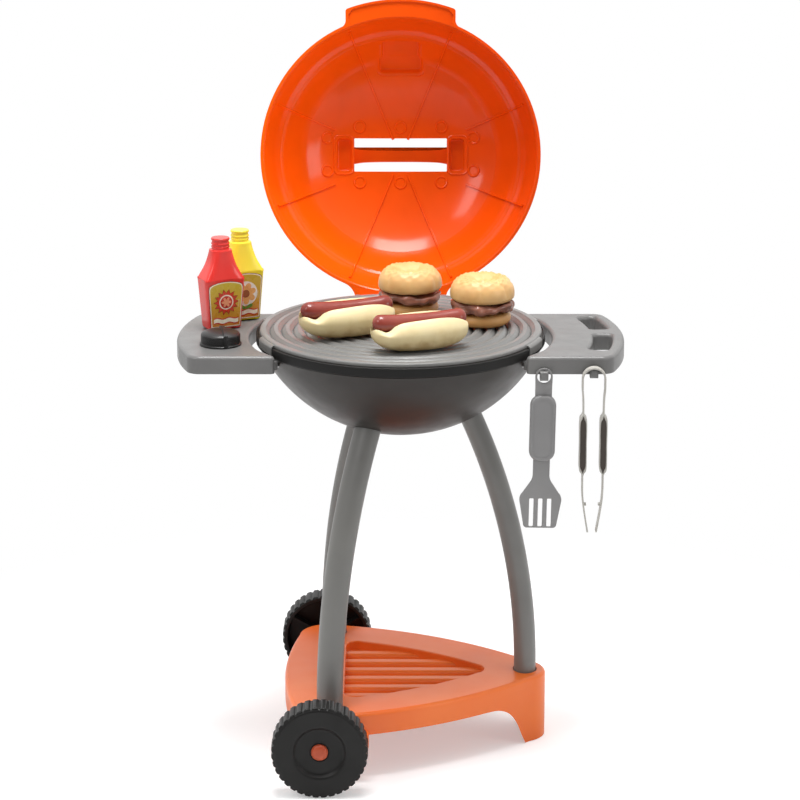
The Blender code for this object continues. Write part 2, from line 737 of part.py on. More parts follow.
def head_radius():
    """The least distance from the sphere's centre to the bowl's faceted inner side, less a gap."""
    half_step = acos((BOWL_CURVE_RADIUS - BOWL_DEPTH) / BOWL_CURVE_RADIUS) / BOWL_ARC_STEPS / 2
    return (BOWL_CURVE_RADIUS - BOWL_WALL) * cos(half_step) - GAP


def sphere_normal(x, y, z):
    return Vector((x, y, z - BOWL_CENTRE_Z)).normalized()


def lug_seat(angle):
    """Where a shelf screw's head lies inside the bowl."""
    height = SHELF_UNDER_Z + LUG_HEIGHT / 2
    drop = BOWL_CENTRE_Z - height + SCREW_HEAD_RADIUS
    reach = sqrt(head_radius() ** 2 - drop ** 2) * cos(pi / ROUND_STEPS)
    return (reach * cos(angle), reach * sin(angle), height)


LUG_ANGLES = (LUG_ANGLE, -LUG_ANGLE, pi - LUG_ANGLE, pi + LUG_ANGLE)
SHELF_SCREWS = [(lug_seat(angle), (cos(angle), sin(angle), 0.0)) for angle in LUG_ANGLES]


def bracket_seats():
    height = HINGE_Z - KNUCKLE_RADIUS - EAR_CLEARANCE - BRACKET_HEIGHT / 2
    across = KNUCKLE_HALF_LENGTH / 2
    drop = BOWL_CENTRE_Z - height + SCREW_HEAD_RADIUS
    radius = sqrt(head_radius() ** 2 - drop ** 2) * cos(pi / ROUND_STEPS)
    back = sqrt(radius ** 2 - (across + SCREW_HEAD_RADIUS) ** 2)
    return [((side * across, back, height), (0.0, 1.0, 0.0)) for side in (-1, 1)]


HINGE_SCREWS = bracket_seats()


# Legs

def leg_frame(foot, lean):
    """Directions of a leg: inwards along its bend, and across it."""
    inward = Vector((-cos(lean), -sin(lean), 0.0))
    return Vector(foot), inward, Vector((-inward.y, inward.x, 0.0))


LEG_FOOT_Z = TRAY_TOP_Z - SOCKET_DEPTH + GAP
LEG_PLACES = {
    "right_leg": ((RIGHT_FOOT_X, 0.0, LEG_FOOT_Z), 0.0),
    "front_left_leg": ((LEFT_FOOT_X, -LEFT_FOOT_Y, LEG_FOOT_Z), pi + LEFT_LEAN),
    "rear_left_leg": ((LEFT_FOOT_X, LEFT_FOOT_Y, LEG_FOOT_Z), pi - LEFT_LEAN),
}


def leg_point(foot, lean, turn):
    """A point of the leg's centre line and its direction, at an angle along the bend."""
    place, inward, _ = leg_frame(foot, lean)
    start = place + Vector((0.0, 0.0, LEG_STRAIGHT))
    point = start + inward * LEG_BEND_RADIUS * (1 - cos(turn)) + Vector((0.0, 0.0, LEG_BEND_RADIUS * sin(turn)))
    return point, inward * sin(turn) + Vector((0.0, 0.0, cos(turn)))


def leg_top_turn(foot, lean, depth=0.0):
    """The angle along the bend at which the leg's centre line is a depth inside the bowl's curve."""
    centre = Vector((0.0, 0.0, BOWL_CENTRE_Z))
    low, high = 0.0, asin((BOWL_CENTRE_Z - LEG_FOOT_Z - LEG_STRAIGHT) / LEG_BEND_RADIUS)
    for _ in range(40):
        middle = (low + high) / 2
        point, _ = leg_point(foot, lean, middle)
        if (point - centre).length > BOWL_CURVE_RADIUS - depth:
            low = middle
        else:
            high = middle
    return low


def leg_screw(foot, lean):
    """Seat and direction of the screw that holds a leg's top from inside the bowl."""
    point, _ = leg_point(foot, lean, leg_top_turn(foot, lean))
    outward = sphere_normal(*point)
    reach = sqrt(head_radius() ** 2 - SCREW_HEAD_RADIUS ** 2) * cos(pi / ROUND_STEPS)
    return Vector((0.0, 0.0, BOWL_CENTRE_Z)) + outward * reach, outward


LEG_TOP_SCREWS = [leg_screw(*place) for place in LEG_PLACES.values()]


def add_leg(name):
    foot, lean = LEG_PLACES[name]
    place, inward, across = leg_frame(foot, lean)
    last = leg_top_turn(foot, lean, BOWL_WALL * 3)
    centres = [place]
    ways = [Vector((0.0, 0.0, 1.0))]
    for ring in range(LEG_RINGS):
        point, way = leg_point(foot, lean, last * ring / (LEG_RINGS - 1))
        centres.append(point)
        ways.append(way)
    sections = []
    for way in ways:
        depth = across.cross(way)
        sections.append([depth * LEG_HALF_DEPTH * cos(2 * pi * side / LEG_SIDES)
                         + across * LEG_HALF_WIDTH * sin(2 * pi * side / LEG_SIDES) for side in range(LEG_SIDES)])
    shape = bmesh.new()
    sweep(shape, centres, sections)
    leg = add_object(name, shape, LEG_GREY, GRILL)
    cut(leg, KETTLE_CLEARANCE)
    holes = bmesh.new()
    screw_hole(holes, *leg_screw(foot, lean))
    screw_hole(holes, *foot_screw(foot))
    cut(leg, add_cutter(name + "_screw_holes", holes, GRILL))


def foot_screw(foot):
    """Seat and direction of the screw that holds a leg's foot from under its socket."""
    return (foot[0], foot[1], foot[2] - GAP - SOCKET_WALL - GAP), (0.0, 0.0, 1.0)


LEG_FOOT_SCREWS = [foot_screw(foot) for foot, _ in LEG_PLACES.values()]


def add_bowl():
    outer = bowl_arc(0.0)
    inner = [(radius, height) for radius, height in reversed(bowl_arc(-BOWL_WALL))]
    rim_inner = BOWL_RIM_RADIUS - BOWL_WALL
    profile = outer + [(BOWL_RIM_RADIUS, BOWL_SIDE_TOP_Z), (BOWL_RIM_RADIUS, RIM_TOP_Z),
                       (rim_inner, RIM_TOP_Z), (rim_inner, BOWL_SIDE_TOP_Z)] + inner
    bowl = add_object("bowl", lathe(bmesh.new(), profile), KETTLE_BLACK, GRILL)
    holes = bmesh.new()
    for seat, way in SHELF_SCREWS + HINGE_SCREWS + LEG_TOP_SCREWS:
        screw_hole(holes, seat, way)
    cut(bowl, add_cutter("bowl_screw_holes", holes, GRILL))


def hook_angles():
    return [centre for side in (0, pi) for centre in (side + HOOK_ANGLE, side - HOOK_ANGLE)]


def add_band():
    low = BOWL_SIDE_TOP_Z + GAP
    inner = BOWL_RIM_RADIUS + GAP
    profile = [(inner, low), (BAND_RADIUS - BAND_EDGE, low), (BAND_RADIUS, low + BAND_EDGE),
               (BAND_RADIUS, RIM_TOP_Z - BAND_EDGE), (BAND_RADIUS - BAND_EDGE, RIM_TOP_Z), (inner, RIM_TOP_Z)]
    band = add_object("rim_band", lathe(bmesh.new(), profile), BAND_BLACK, GRILL)
    notches = bmesh.new()
    spread = HOOK_HALF_ANGLE + BAND_NOTCH_CLEARANCE / BAND_RADIUS
    strip_top = low + BAND_STRIP
    notch = [(BOWL_RIM_RADIUS - BAND_THICKNESS, strip_top), (BAND_RADIUS + CUT_OVERRUN, strip_top),
             (BAND_RADIUS + CUT_OVERRUN, RIM_TOP_Z + CUT_OVERRUN),
             (BOWL_RIM_RADIUS - BAND_THICKNESS, RIM_TOP_Z + CUT_OVERRUN)]
    for centre in hook_angles():
        sector(notches, notch, centre - spread, centre + spread, HOOK_STEPS)
    cut(band, add_cutter("band_notches", notches, GRILL))


# Grate

def add_grate(pivot):
    profile = [(0.0, GRATE_UNDER_Z)]
    plate_radius = BOWL_RIM_RADIUS - BOWL_WALL - GRATE_PLATE_CLEARANCE
    flange_z = RIM_TOP_Z + GAP
    profile += [(plate_radius, GRATE_UNDER_Z), (plate_radius, flange_z), (GRATE_RADIUS, flange_z),
                (GRATE_RADIUS, GRATE_TOP_Z)]
    outer_groove = GRATE_RADIUS - RIDGE_PITCH + GROOVE_HALF_WIDTH / 2
    for ridge in range(RIDGE_COUNT):
        groove = outer_groove - ridge * RIDGE_PITCH
        profile += [(groove + GROOVE_HALF_WIDTH, GRATE_TOP_Z), (groove, GRATE_TOP_Z - GROOVE_DEPTH),
                    (groove - GROOVE_HALF_WIDTH, GRATE_TOP_Z)]
    profile.append((0.0, GRATE_TOP_Z))
    grate = add_object("grate", lathe(bmesh.new(), profile, GRATE_STEPS), SHELF_GREY, pivot)
    hooks = bmesh.new()
    root = plate_radius - GROOVE_HALF_WIDTH
    foot_z = BOWL_SIDE_TOP_Z + GAP + BAND_STRIP + GAP
    hook = [(root, flange_z), (HOOK_INNER_RADIUS, flange_z), (HOOK_INNER_RADIUS, foot_z),
            (HOOK_OUTER_RADIUS, foot_z), (HOOK_OUTER_RADIUS, HOOK_TOP_Z - BAND_EDGE),
            (HOOK_OUTER_RADIUS - BAND_EDGE, HOOK_TOP_Z), (root, HOOK_TOP_Z)]
    for centre in hook_angles():
        sector(hooks, hook, centre - HOOK_HALF_ANGLE, centre + HOOK_HALF_ANGLE, HOOK_STEPS)
    join(grate, add_cutter("grate_hooks", hooks, pivot))


# Lid and hinge

def lid_outline():
    """The lid's outer profile from the rim to the crown, closed across the rim."""
    points = [(share * LID_RADIUS, LID_RIM_Z + height * LID_HEIGHT) for share, height in LID_PROFILE_SHARES]
    return [(0.0, LID_RIM_Z)] + points


def lid_inside():
    """The space under the lid, a wall's thickness inside its outer profile and open below."""
    points = [(share * LID_RADIUS, LID_RIM_Z + height * LID_HEIGHT) for share, height in LID_INSIDE_SHARES]
    moved = []
    for index, (radius, height) in enumerate(points):
        before = points[max(index - 1, 0)]
        after = points[min(index + 1, len(points) - 1)]
        way = Vector((after[0] - before[0], after[1] - before[1])).normalized()
        moved.append((radius - way.y * LID_WALL, height + way.x * LID_WALL))
    moved[-1] = (0.0, points[-1][1] - LID_WALL)
    return [(0.0, points[0][1])] + moved


def lip_shape(shape):
    outer = LID_RADIUS + LIP_REACH
    inner = LID_RADIUS - LID_WALL / 2
    spread = asin(LIP_HALF_WIDTH / outer)
    spread_inner = asin(LIP_HALF_WIDTH / inner)
    corner = LIP_CORNER / outer
    points = [(inner * sin(spread_inner * (1 - 2 * step / LIP_STEPS)),
               -inner * cos(spread_inner * (1 - 2 * step / LIP_STEPS))) for step in range(LIP_STEPS + 1)]
    points.append((-LIP_HALF_WIDTH, -(outer * cos(spread) - LIP_CORNER)))
    start = -spread + corner
    points += [(outer * sin(start + (spread - corner) * 2 * step / LIP_STEPS),
                -outer * cos(start + (spread - corner) * 2 * step / LIP_STEPS)) for step in range(LIP_STEPS + 1)]
    points.append((LIP_HALF_WIDTH, -(outer * cos(spread) - LIP_CORNER)))
    prism(shape, points, LID_RIM_Z + GAP, LID_RIM_Z + LIP_THICKNESS)


def tab_shape(shape):
    """The flat tab at the back of the rim, straight along its rear edge."""
    inner = LID_RADIUS - LID_WALL / 2
    spread = asin(HINGE_TAB_HALF_WIDTH / inner)
    points = [(inner * sin(spread * (1 - 2 * step / LIP_STEPS)), inner * cos(spread * (1 - 2 * step / LIP_STEPS)))
              for step in range(LIP_STEPS + 1)]
    points += [(-HINGE_TAB_HALF_WIDTH, HINGE_Y), (HINGE_TAB_HALF_WIDTH, HINGE_Y)]
    prism(shape, points, LID_RIM_Z + GAP, LID_RIM_Z + HINGE_TAB_THICKNESS)


def knuckle_shape(shape):
    """The tab's rolled edge, round the hinge pin."""
    top = LID_RIM_Z + HINGE_TAB_THICKNESS / 2
    points = arc_points((HINGE_Y, HINGE_Z), KNUCKLE_RADIUS, pi, pi + KNUCKLE_ROLL, KNUCKLE_STEPS)
    points += [(points[-1][0], top), (HINGE_Y - KNUCKLE_RADIUS, top)]
    side_prism(shape, points, -KNUCKLE_HALF_LENGTH, KNUCKLE_HALF_LENGTH)


def housing_shape(shape, grow, low, high):
    """A rounded block square to the lid's slope, between two heights off the lid's surface."""
    half_x = HOUSING_WIDTH / 2 + grow
    half_y = HOUSING_LENGTH / 2 + grow
    corners = [(-half_x, -half_y), (half_x, -half_y), (half_x, half_y), (-half_x, half_y)]
    before = set(shape.verts)
    prism(shape, corners, low, high)
    radius = LID_RADIUS * HOUSING_RADIUS_SHARE
    height = LID_RIM_Z + LID_HEIGHT * HOUSING_HEIGHT_SHARE
    place = Matrix.Translation((0.0, -radius, height)) @ Matrix.Rotation(HOUSING_SLOPE, 4, "X")
    bmesh.ops.transform(shape, matrix=place, verts=[vertex for vertex in shape.verts if vertex not in before])


def add_lid(pivot):
    lid = add_object("lid", lathe(bmesh.new(), lid_outline()), ORANGE_LID, pivot)
    post_z = LID_RIM_Z + LID_HEIGHT * HANDLE_ROOT_SHARE
    edges = bmesh.new()
    lip_shape(edges)
    tab_shape(edges)
    housing_shape(edges, 0.0, -HOUSING_DEPTH / 2, HOUSING_STAND)
    for side in (-1, 1):
        ends = sorted((side * HANDLE_HALF_LENGTH, side * HANDLE_OPENING_HALF_LENGTH))
        soften(edges, box(edges, (ends[0], -HANDLE_HALF_WIDTH, post_z),
                          (ends[1], HANDLE_HALF_WIDTH, HANDLE_TOP_Z - GAP)), HANDLE_EDGE)
    join(lid, add_cutter("lid_edges", edges, pivot))
    bars = bmesh.new()
    knuckle_shape(bars)
    half = HANDLE_HALF_LENGTH - HANDLE_POST_LENGTH / 2
    box(bars, (-half, -HANDLE_BAR_HALF_WIDTH, HANDLE_TOP_Z - HANDLE_BAR_THICKNESS),
        (half, HANDLE_BAR_HALF_WIDTH, HANDLE_TOP_Z))
    join(lid, add_cutter("lid_bars", bars, pivot))
    cut(lid, add_cutter("lid_inside", lathe(bmesh.new(), lid_inside()), pivot))
    hollows = bmesh.new()
    low = LID_RIM_Z + LID_HEIGHT / 2
    high = HANDLE_TOP_Z - HANDLE_BAR_THICKNESS - GAP
    box(hollows, (-HANDLE_OPENING_HALF_LENGTH, -HANDLE_OPENING_HALF_WIDTH, low),
        (HANDLE_OPENING_HALF_LENGTH, HANDLE_OPENING_HALF_WIDTH, HANDLE_TOP_Z - HANDLE_BAR_THICKNESS))
    for side in (-1, 1):
        ends = sorted((side * (HANDLE_HALF_LENGTH - LID_WALL), side * (HANDLE_OPENING_HALF_LENGTH + LID_WALL)))
        box(hollows, (ends[0], -HANDLE_OPENING_HALF_WIDTH, low), (ends[1], HANDLE_OPENING_HALF_WIDTH, high))
    housing_shape(hollows, -LID_WALL, -HOUSING_DEPTH, HOUSING_STAND - LID_WALL)
    rod(hollows, (-KNUCKLE_HALF_LENGTH - CUT_OVERRUN, HINGE_Y, HINGE_Z),
        (KNUCKLE_HALF_LENGTH + CUT_OVERRUN, HINGE_Y, HINGE_Z), HINGE_PIN_RADIUS + HINGE_BORE_CLEARANCE, PIN_STEPS)
    cut(lid, add_cutter("lid_hollows", hollows, pivot))


def add_hinge():
    """The bracket on the bowl's back with two ears, its pin and its two screws."""
    ear_inner = KNUCKLE_HALF_LENGTH + EAR_CLEARANCE
    ear_outer = ear_inner + EAR_THICKNESS
    top = HINGE_Z - KNUCKLE_RADIUS - EAR_CLEARANCE
    under = top - BRACKET_HEIGHT
    front = HINGE_Y - BRACKET_DEPTH
    base = bmesh.new()
    box(base, (-ear_outer, front, under), (ear_outer, HINGE_Y, top))
    bracket = add_object("hinge_bracket", base, SHELF_GREY, GRILL, smooth=False)
    ears = bmesh.new()
    outline = [(front, under + GAP), (HINGE_Y, under + GAP), (HINGE_Y + EAR_RADIUS, top)]
    outline += arc_points((HINGE_Y, HINGE_Z), EAR_RADIUS, 0.0, pi, EAR_STEPS)
    outline += [(HINGE_Y - EAR_RADIUS, top), (front, top - GAP)]
    for side in (-1, 1):
        side_prism(ears, outline, *sorted((side * ear_inner, side * ear_outer)))
    join(bracket, add_cutter("hinge_ears", ears, GRILL))
    cut(bracket, KETTLE_CLEARANCE)
    holes = bmesh.new()
    rod(holes, (-ear_outer - CUT_OVERRUN, HINGE_Y, HINGE_Z), (ear_outer + CUT_OVERRUN, HINGE_Y, HINGE_Z),
        HINGE_PIN_RADIUS + GAP, PIN_STEPS)
    for seat, way in HINGE_SCREWS:
        screw_hole(holes, seat, way)
    cut(bracket, add_cutter("hinge_bracket_holes", holes, GRILL))
    pin = bmesh.new()
    half = ear_outer + GAP
    profile = [(0.0, -half), (HINGE_PIN_RADIUS, -half), (HINGE_PIN_RADIUS, half),
               (PIN_HEAD_RADIUS, half), (PIN_HEAD_RADIUS, half + PIN_HEAD_THICKNESS), (0.0, half + PIN_HEAD_THICKNESS)]
    lathe(pin, profile, PIN_STEPS)
    place = Matrix.Translation((0.0, HINGE_Y, HINGE_Z)) @ Matrix.Rotation(pi / 2, 4, "Y")
    bmesh.ops.transform(pin, matrix=place, verts=pin.verts)
    add_object("hinge_pin", pin, STEEL, GRILL)


# Shelves

def shelf_outline(side):
    """Half of a ring between two straight edges: the shelf's plan on the right, or on the left."""
    inner_angle = asin(SHELF_HALF_DEPTH / SHELF_INNER_RADIUS)
    outer_angle = asin(SHELF_HALF_DEPTH / SHELF_OUTER_RADIUS)
    trim = SHELF_OUTER_CORNER * SHELF_OUTER_TRIM_SHARE / SHELF_OUTER_RADIUS
    inner_trim = SHELF_INNER_CORNER * SHELF_INNER_TRIM_SHARE / SHELF_INNER_RADIUS
    corners = []
    for x, y in arc_points((0.0, 0.0), SHELF_INNER_RADIUS, inner_angle - inner_trim, inner_trim - inner_angle,
                           SHELF_ARC_STEPS):
        corners.append((x, y, 0.0))
    corners.append((SHELF_INNER_RADIUS * cos(inner_angle), -SHELF_HALF_DEPTH, SHELF_INNER_CORNER))
    corners.append((SHELF_OUTER_RADIUS * cos(outer_angle), -SHELF_HALF_DEPTH, SHELF_OUTER_CORNER))
    for x, y in arc_points((0.0, 0.0), SHELF_OUTER_RADIUS, trim - outer_angle, outer_angle - trim, SHELF_ARC_STEPS):
        corners.append((x, y, 0.0))
    corners.append((SHELF_OUTER_RADIUS * cos(outer_angle), SHELF_HALF_DEPTH, SHELF_OUTER_CORNER))
    corners.append((SHELF_INNER_RADIUS * cos(inner_angle), SHELF_HALF_DEPTH, SHELF_INNER_CORNER))
    outline = rounded(corners, CORNER_STEPS)
    if side < 0:
        outline = [(-x, y) for x, y in reversed(outline)]
    return outline


def lug_shape(shape, angle):
    """A block from the shelf's inner wall to the bowl, before the bowl's curve is cut from it."""
    outer = SHELF_INNER_RADIUS + SHELF_WALL - GAP
    inner = outer - LUG_LENGTH
    before = set(shape.verts)
    box(shape, (inner, -LUG_HALF_WIDTH, SHELF_UNDER_Z + GAP), (outer, LUG_HALF_WIDTH, SHELF_UNDER_Z + LUG_HEIGHT))
    bmesh.ops.transform(shape, matrix=Matrix.Rotation(angle, 4, "Z"),
                        verts=[vertex for vertex in shape.verts if vertex not in before])


def lug_hole(shape, angle):
    """A screw's hole from inside the bowl through the lug and the shelf's inner wall."""
    seat = Vector(lug_seat(angle))
    way = Vector((cos(angle), sin(angle), 0.0))
    reach = SHELF_INNER_RADIUS + SHELF_WALL + CUT_OVERRUN
    rod(shape, seat, (reach * way.x, reach * way.y, seat.z), SCREW_RADIUS + SCREW_HOLE_CLEARANCE, SCREW_SIDES)


def add_shelf(name, side):
    outline = shelf_outline(side)
    shape = bmesh.new()
    soft_prism(shape, outline, SHELF_UNDER_Z, SHELF_TOP_Z, SHELF_TOP_EDGE)
    shelf = add_object(name, shape, SHELF_GREY, GRILL)
    hollow = bmesh.new()
    prism(hollow, inset_outline(outline, SHELF_WALL), SHELF_UNDER_Z - CUT_OVERRUN, SHELF_TOP_Z - SHELF_WALL)
    cut(shelf, add_cutter(name + "_hollow", hollow, GRILL))
    lugs = bmesh.new()
    for angle in LUG_ANGLES:
        if cos(angle) * side > 0:
            lug_shape(lugs, angle)
    join(shelf, add_cutter(name + "_lugs", lugs, GRILL))
    cut(shelf, KETTLE_CLEARANCE)
    return shelf


def finger_hole(y_range, grow):
    """A finger hole's outline between two arcs about the kettle's axis."""
    outer = SHELF_OUTER_RADIUS - FINGER_HOLE_SIDE + grow
    inner = outer - FINGER_HOLE_WIDTH - 2 * grow
    low, high = y_range[0] - grow, y_range[1] + grow
    corner = FINGER_HOLE_CORNER + grow
    points = [(sqrt(inner ** 2 - high ** 2), high, corner)]
    points += [(sqrt(inner ** 2 - ((low + high) / 2) ** 2), (low + high) / 2, 0.0)]
    points += [(sqrt(inner ** 2 - low ** 2), low, corner), (sqrt(outer ** 2 - low ** 2), low, corner)]
    points += [(sqrt(outer ** 2 - ((low + high) / 2) ** 2), (low + high) / 2, 0.0)]
    points += [(sqrt(outer ** 2 - high ** 2), high, corner)]
    return rounded(points, FINGER_HOLE_STEPS)


def peg_shape(shape, x, top):
    """A peg that runs forward from under the shelf's front edge, with its top corners cut off."""
    half = PEG_HALF_WIDTH
    outline = [(x - half, top - PEG_HEIGHT), (x + half, top - PEG_HEIGHT), (x + half, top - PEG_CHAMFER),
               (x + half - PEG_CHAMFER, top), (x - half + PEG_CHAMFER, top), (x - half, top - PEG_CHAMFER)]
    front_prism(shape, outline, -SHELF_HALF_DEPTH - PEG_REACH, PEG_ROOT - SHELF_HALF_DEPTH)


def add_right_shelf():
    shelf = add_shelf("right_shelf", 1)
    sleeves = bmesh.new()
    holes = bmesh.new()
    for y_range in FINGER_HOLES_Y:
        prism(sleeves, finger_hole(y_range, SHELF_WALL), SHELF_UNDER_Z + GAP, SHELF_TOP_Z - SHELF_WALL / 2)
        prism(holes, finger_hole(y_range, 0.0), SHELF_UNDER_Z - CUT_OVERRUN, SHELF_TOP_Z + CUT_OVERRUN)
    join(shelf, add_cutter("finger_hole_sleeves", sleeves, GRILL))
    pegs = bmesh.new()
    peg_shape(pegs, SPATULA_X, SPATULA_PEG_TOP_Z)
    peg_shape(pegs, TONGS_X, TONGS_PEG_TOP_Z)
    join(shelf, add_cutter("tool_pegs", pegs, GRILL))
    for angle in (LUG_ANGLE, -LUG_ANGLE):
        lug_hole(holes, angle)
    cut(shelf, add_cutter("right_shelf_holes", holes, GRILL))


def add_left_shelf():
    shelf = add_shelf("left_shelf", -1)
    holes = bmesh.new()
    rod(holes, (KNOB_X, KNOB_Y, SHELF_UNDER_Z - CUT_OVERRUN), (KNOB_X, KNOB_Y, SHELF_TOP_Z + CUT_OVERRUN),
        KNOB_STEM_RADIUS + KNOB_STEM_CLEARANCE, KNOB_STEPS)
    for angle in (pi - LUG_ANGLE, pi + LUG_ANGLE):
        lug_hole(holes, angle)
    cut(shelf, add_cutter("left_shelf_holes", holes, GRILL))


def add_knob(pivot):
    base = SHELF_TOP_Z + GAP
    ratchet_top = SHELF_TOP_Z - SHELF_WALL - GAP
    ratchet_under = ratchet_top - RATCHET_THICKNESS
    stem_end = ratchet_under - RATCHET_THICKNESS / 2
    profile = [(0.0, stem_end), (KNOB_STEM_RADIUS, stem_end), (KNOB_STEM_RADIUS, base),
               (KNOB_RADIUS + KNOB_FLANGE, base), (KNOB_RADIUS + KNOB_FLANGE, base + KNOB_FLANGE_HEIGHT),
               (KNOB_RADIUS, base + KNOB_FLANGE_HEIGHT), (KNOB_RADIUS, base + KNOB_HEIGHT - KNOB_CROWN),
               (KNOB_RADIUS - KNOB_CROWN, base + KNOB_HEIGHT), (0.0, base + KNOB_HEIGHT)]
    knob = add_object("knob", lathe(bmesh.new(), profile, KNOB_STEPS, (KNOB_X, KNOB_Y)), KNOB_BLACK, pivot)
    grip = bmesh.new()
    half = KNOB_RADIUS - KNOB_CROWN
    outline = rounded([(-KNOB_GRIP_HALF_WIDTH, -half, KNOB_CROWN), (KNOB_GRIP_HALF_WIDTH, -half, KNOB_CROWN),
                       (KNOB_GRIP_HALF_WIDTH, half, KNOB_CROWN), (-KNOB_GRIP_HALF_WIDTH, half, KNOB_CROWN)], EDGE_STEPS)
    soft_prism(grip, outline, base + KNOB_FLANGE_HEIGHT, base + KNOB_GRIP_HEIGHT, KNOB_CROWN, 1)
    place = Matrix.Translation((KNOB_X, KNOB_Y, 0.0)) @ Matrix.Rotation(KNOB_GRIP_TURN, 4, "Z")
    bmesh.ops.transform(grip, matrix=place, verts=grip.verts)
    join(knob, add_cutter("knob_grip", grip, pivot))
    teeth = []
    for step in range(RATCHET_TEETH * 2):
        reach = RATCHET_RADIUS - (RATCHET_TOOTH if step % 2 else 0.0)
        angle = pi * step / RATCHET_TEETH
        teeth.append((KNOB_X + reach * cos(angle), KNOB_Y + reach * sin(angle)))
    disc = bmesh.new()
    prism(disc, teeth, ratchet_under, ratchet_top)
    ratchet = add_object("knob_ratchet", disc, WHEEL_GREY, pivot, smooth=False)
    bore = bmesh.new()
    rod(bore, (KNOB_X, KNOB_Y, ratchet_under - CUT_OVERRUN), (KNOB_X, KNOB_Y, ratchet_top + CUT_OVERRUN),
        KNOB_STEM_RADIUS + GAP, KNOB_STEPS)
    cut(ratchet, add_cutter("ratchet_bore", bore, pivot))
    pawl = bmesh.new()
    tip = KNOB_X - RATCHET_RADIUS - GAP
    half = PAWL_WIDTH / 2
    outline = [(tip, KNOB_Y), (tip - half, KNOB_Y + half), (tip - PAWL_LENGTH, KNOB_Y + half),
               (tip - PAWL_LENGTH, KNOB_Y - half), (tip - half, KNOB_Y - half)]
    prism(pawl, outline, ratchet_top - PAWL_THICKNESS, ratchet_top)
    add_object("click_pawl", pawl, WHEEL_GREY, GRILL, smooth=False)


# Base tray, axle and wheels

def tray_outline():
    """A rounded triangle with bulged sides, wide on the wheels' side, drawn anticlockwise."""
    right = (TRAY_RIGHT_CORNER_X, 0.0)
    left = (TRAY_LEFT_CORNER_X, TRAY_LEFT_CORNER_Y)
    near = (TRAY_LEFT_CORNER_X, -TRAY_LEFT_CORNER_Y)
    slope = atan2(TRAY_LEFT_CORNER_Y, TRAY_RIGHT_CORNER_X - TRAY_LEFT_CORNER_X)
    side = pi / 2 - slope
    corner_right = arc_points(right, TRAY_RIGHT_CORNER_RADIUS, -side, side, TRAY_CORNER_STEPS)
    corner_far = arc_points(left, TRAY_LEFT_CORNER_RADIUS, side, pi, TRAY_CORNER_STEPS)
    corner_near = arc_points(near, TRAY_LEFT_CORNER_RADIUS, pi, 2 * pi - side, TRAY_CORNER_STEPS)
    points = list(corner_right)
    points += bulged(corner_right[-1], corner_far[0], TRAY_SIDE_BULGE, TRAY_SIDE_STEPS)
    points += corner_far
    points += bulged(corner_far[-1], corner_near[0], TRAY_LEFT_BULGE, TRAY_SIDE_STEPS)
    points += corner_near
    points += bulged(corner_near[-1], corner_right[0], TRAY_SIDE_BULGE, TRAY_SIDE_STEPS)
    return points


def recess_outline(grow):
    left, right, half = RECESS_LEFT_X - grow, RECESS_RIGHT_X + grow, RECESS_HALF_DEPTH + grow
    corners = [(right, 0.0, RECESS_RIGHT_CORNER)]
    corners += [(x, y, 0.0) for x, y in bulged((right, 0.0), (left, half), RECESS_BULGE, RECESS_STEPS)][1:]
    corners += [(left, half, RECESS_LEFT_CORNER), (left, -half, RECESS_LEFT_CORNER)]
    corners += [(x, y, 0.0) for x, y in bulged((left, -half), (right, 0.0), RECESS_BULGE, RECESS_STEPS)][:-1]
    return rounded(corners, RECESS_STEPS)


def oval(foot, lean, grow):
    _, inward, across = leg_frame(foot, lean)
    points = []
    for side in range(LEG_SIDES):
        angle = 2 * pi * side / LEG_SIDES
        point = inward * (LEG_HALF_DEPTH + grow) * cos(angle) + across * (LEG_HALF_WIDTH + grow) * sin(angle)
        points.append((foot[0] + point.x, foot[1] + point.y))
    return points


